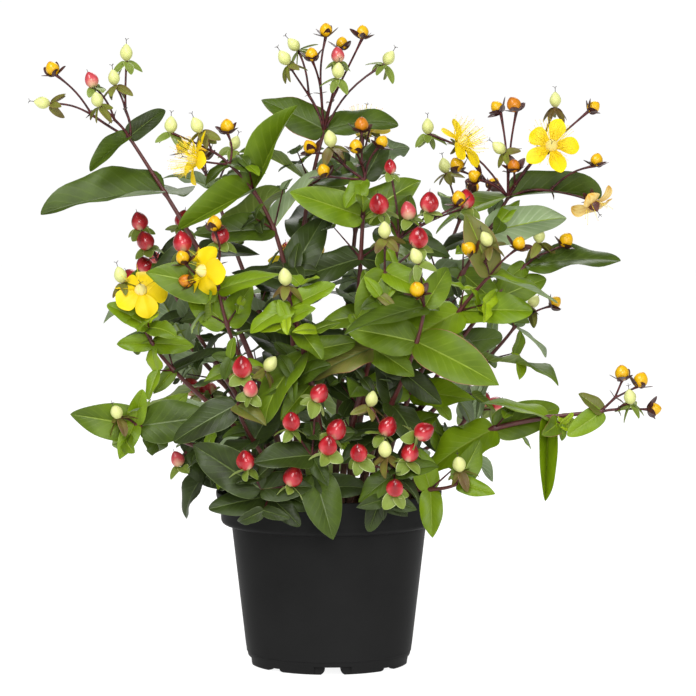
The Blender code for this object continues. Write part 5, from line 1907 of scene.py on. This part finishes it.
def addTrussStalks(heaps, arms, rng):
    partners = pairedArms(arms)
    for i, (letter, root, seat, facing) in enumerate(arms):
        start = root
        if i in partners:
            other = arms[partners[i]]
            reach = stalkLook["joint"] * min((seat - root).length, (other[2] - other[1]).length)
            spots = [r + (s - r).normalized() * reach for r, s in ((root, seat), other[1:3])]
            start = (spots[0] + spots[1]) / 2
            if i < partners[i]:
                foot = (root + other[1]) / 2
                shared = stalkLook["sharedSwell"]
                swells = (shared * 1.2, shared, shared * 1.15)
                addStalk(heaps["truss_stalks"], foot, start, rng, swells)
                addBracts(heaps["sepals"], start, (start - foot).normalized(), rng)
        addStalk(heaps["truss_stalks"], start, seat + facing * 0.0008, rng, (1.25, 1.0, 1.7))


def addFruit(heaps, letter, seat, facing, rng):
    item = trussItems[letter]
    form = item["form"]
    look = fruitForms[form]
    scale = rng.uniform(look["least"], 1.0)
    length = item["length"] * scale
    width = item["width"] * scale * look["wide"]
    stations = bodyStations(length, width, look["peak"], look["power"], fruitRows)
    # a berry that is still turning red, a capsule with greener sepals or an orange bud
    odd = letter == "P" if form == "berry" else rng.random() < look["odd"]
    slot = 0 if form == "capsule" else int(odd)
    turnedBody(heaps[look["piece"]], seat, facing, stations, look["sides"], slot, look["relief"])
    slots = {
        "berry": greenSlots,
        "capsule": greenSlots if odd else oliveSlots,
        "bud": maroonSlots,
    }
    share, fixed = look["sepals"]
    size = item["length"] * share + fixed
    addSepals(heaps["sepals"], form, seat, facing, size, rng, slots[form])
    if "style" in look:
        tip = seat + facing * length
        addStyles(heaps["truss_stalks"], tip, facing, rng, look["style"], form == "capsule")


def addFlower(heaps, name, letter, seat, facing, rng):
    look = flowerLook
    item = trussItems[letter]
    spent = letter == "W"
    old = name in oldFlowers
    radius = growth["ovaryRadius"]
    height, width = radius * look["ovaryLength"], radius * look["ovaryWidth"]
    stations = bodyStations(height, width, look["ovaryPeak"], look["ovaryPower"], look["ovaryRows"])
    turnedBody(heaps["capsules"], seat, facing, stations, look["ovarySides"], 1 + spent, lobed)
    tip = seat + facing * radius * look["ovaryLength"]
    addStyles(heaps["truss_stalks"], tip, facing, rng, look["style"])
    size = item["length"] * (withered["sepals"] if spent else 1)
    slots = maroonSlots if spent else oliveSlots
    addSepals(heaps["sepals"], "flower", seat, facing, size, rng, slots)
    for blade in petalBlades(item, seat, facing):
        drawn = {key: rng.uniform(*ends) for key, ends in petalSizes.items()}
        petal = blade._replace(
            length=blade.length * drawn["length"] * (withered["length"] if spent else 1),
            width=blade.width * drawn["width"] * (withered["width"] if old or spent else 1),
            droop=blade.droop + drawn["droop"] + look["oldDroop"] * old,
            fold=drawn["fold"],
        )
        shape = dict(petalShape, hook=withered["hook"])
        for key, ends in petalForms.items():
            if key != "hook" or not spent:
                shape[key] = rng.uniform(*ends)
        slot = int(spent)
        addBlade(heaps["petals"], petal, shape, look["rows"], look["columns"], slot, slot)
    addStamens(heaps["stamens"], seat, facing, old or spent, spent, rng)


def addStamens(heap, seat, facing, few, short, rng):
    look = flowerLook
    radius = growth["ovaryRadius"]
    count = look["spentStamens"] if few else look["stamens"]
    shares = np.linspace(0, 1, 6)
    thin, size = look["filament"], look["anther"]
    for i in range(count):
        out = outFrom(facing, 2 * math.pi * i / count + rng.uniform(-0.2, 0.2))
        opened = rng.uniform(*look["stamenLean"])
        length = rng.uniform(*look["stamenLength"]) * (withered["stamens"] if short else 1)
        start = seat + facing * radius * 0.5 + out * radius * 0.75
        way = facing * math.cos(opened) + out * math.sin(opened)
        curl = out * rng.uniform(*look["stamenCurl"]) + facing * 0.2
        points = [start + way * length * t + curl * length * t * t * 0.6 for t in shares]
        sweep(heap, points, [thin * (1.3 - 0.5 * t) for t in shares], 4, 0)
        stations = bodyStations(size * 2, size * 1.6, 1, 0.6, 5)
        turnedBody(heap, points[-1] - way * size, way.normalized(), stations, 6, 1)


def makeTrusses(fruits):
    rng = random.Random("truss looks")
    heaps = {piece: newHeap() for piece in trussFinishes}
    trusses = {}
    for name, *arm in fruits:
        trusses.setdefault(name, []).append(arm)
    for name, arms in trusses.items():
        addTrussStalks(heaps, arms, rng)
        for letter, root, seat, facing in arms:
            if trussItems[letter]["form"] == "flower":
                addFlower(heaps, name, letter, seat, facing, rng)
            else:
                addFruit(heaps, letter, seat, facing, rng)
    for piece, settings in trussFinishes.items():
        finishes = [make(*values) for make, *values in settings]
        buildPiece(piece, heaps[piece], finishes, sharp=80 if piece in roundPieces else 50)


# Floor, light and camera


# The camera stands where the photograph's did, two metres in front and a little above.
cameraSpot = {
    "place": (0.0127, -2.0, 0.35),
    "lookAt": (0.0127, 0.0, 0.2095),
    "lens": 156.5,
    "sensor": 36.0,
}
lighting = {
    "backdrop": 1.02,
    "room": 0.30,
    "roomEnds": 0.80,
    "backdropStarts": 0.96,
    "floorGlow": 0.90,
    "aim": (0, 0, 0.2),
    "key": {"place": (-0.7, -1.3, 1.8), "size": 0.8, "power": 31},
    "front": {"place": (0.25, -2.4, 0.9), "size": 0.9, "power": 30},
    "fill": {"place": (1.2, -1.2, 1.1), "size": 0.7, "power": 7},
    "rim": {"place": (0.2, 1.4, 1.6), "size": 1.0, "power": 14},
}


def aimAt(obj, target):
    obj.rotation_mode = "QUATERNION"
    obj.rotation_quaternion = (Vector(target) - obj.location).to_track_quat("-Z", "Y")


def makeStudio():
    scene = bpy.context.scene
    bm = bmesh.new()
    bmesh.ops.create_grid(bm, x_segments=1, y_segments=1, size=6)
    mesh = bpy.data.meshes.new("floor")
    bm.to_mesh(mesh)
    bm.free()
    pale = plainFinish("pale_floor", "909090", "949494", 0.9, 3.0, 0.1)
    shader = pale.node_tree.nodes["Principled BSDF"]
    shader.inputs["Emission Color"].default_value = (1, 1, 1, 1)
    shader.inputs["Emission Strength"].default_value = lighting["floorGlow"]
    mesh.materials.append(pale)
    floor = bpy.data.objects.new("floor", mesh)
    scene.collection.objects.link(floor)
    floor.location.z = -0.0002
    world = bpy.data.worlds.new("studio")
    world.use_nodes = True
    # a white backdrop behind the plant, and a dimmer room at its sides and in front
    tree = world.node_tree
    way = addNode(tree, "ShaderNodeTexCoord")
    parts = addNode(tree, "ShaderNodeSeparateXYZ", {0: way.outputs["Generated"]})
    ends = [lighting[key] for key in ("roomEnds", "backdropStarts", "room", "backdrop")]
    level = spreadOf(tree, parts.outputs[1], *ends)
    tree.nodes["Background"].inputs[0].default_value = (1, 1, 1, 1)
    tree.links.new(level, tree.nodes["Background"].inputs[1])
    scene.world = world
    for name in ("key", "front", "fill", "rim"):
        spec = lighting[name]
        data = bpy.data.lights.new(name, "AREA")
        data.size = spec["size"]
        data.energy = spec["power"]
        light = bpy.data.objects.new(name, data)
        light.location = spec["place"]
        scene.collection.objects.link(light)
        aimAt(light, lighting["aim"])
    data = bpy.data.cameras.new("camera")
    data.lens = cameraSpot["lens"]
    data.sensor_width = cameraSpot["sensor"]
    camera = bpy.data.objects.new("camera", data)
    camera.location = cameraSpot["place"]
    scene.collection.objects.link(camera)
    aimAt(camera, cameraSpot["lookAt"])
    scene.camera = camera
    scene.view_settings.view_transform = "Standard"


makeStudio()
print("studio ready")
paths, solids, fruits, leaves = growPlant()
print("grown:", len(fruits), "truss items and", len(leaves), "leaves")
fineTwigs, smallLeaves = growTwigs(paths, solids)
print("grown:", len(fineTwigs), "fine twigs and", len(smallLeaves), "small leaves")
makePot()
makeSoil()
makeStems(paths)
makeTwigs(fineTwigs)
makeLeaves(leaves, smallLeaves)
makeTrusses(fruits)
print("all pieces made")
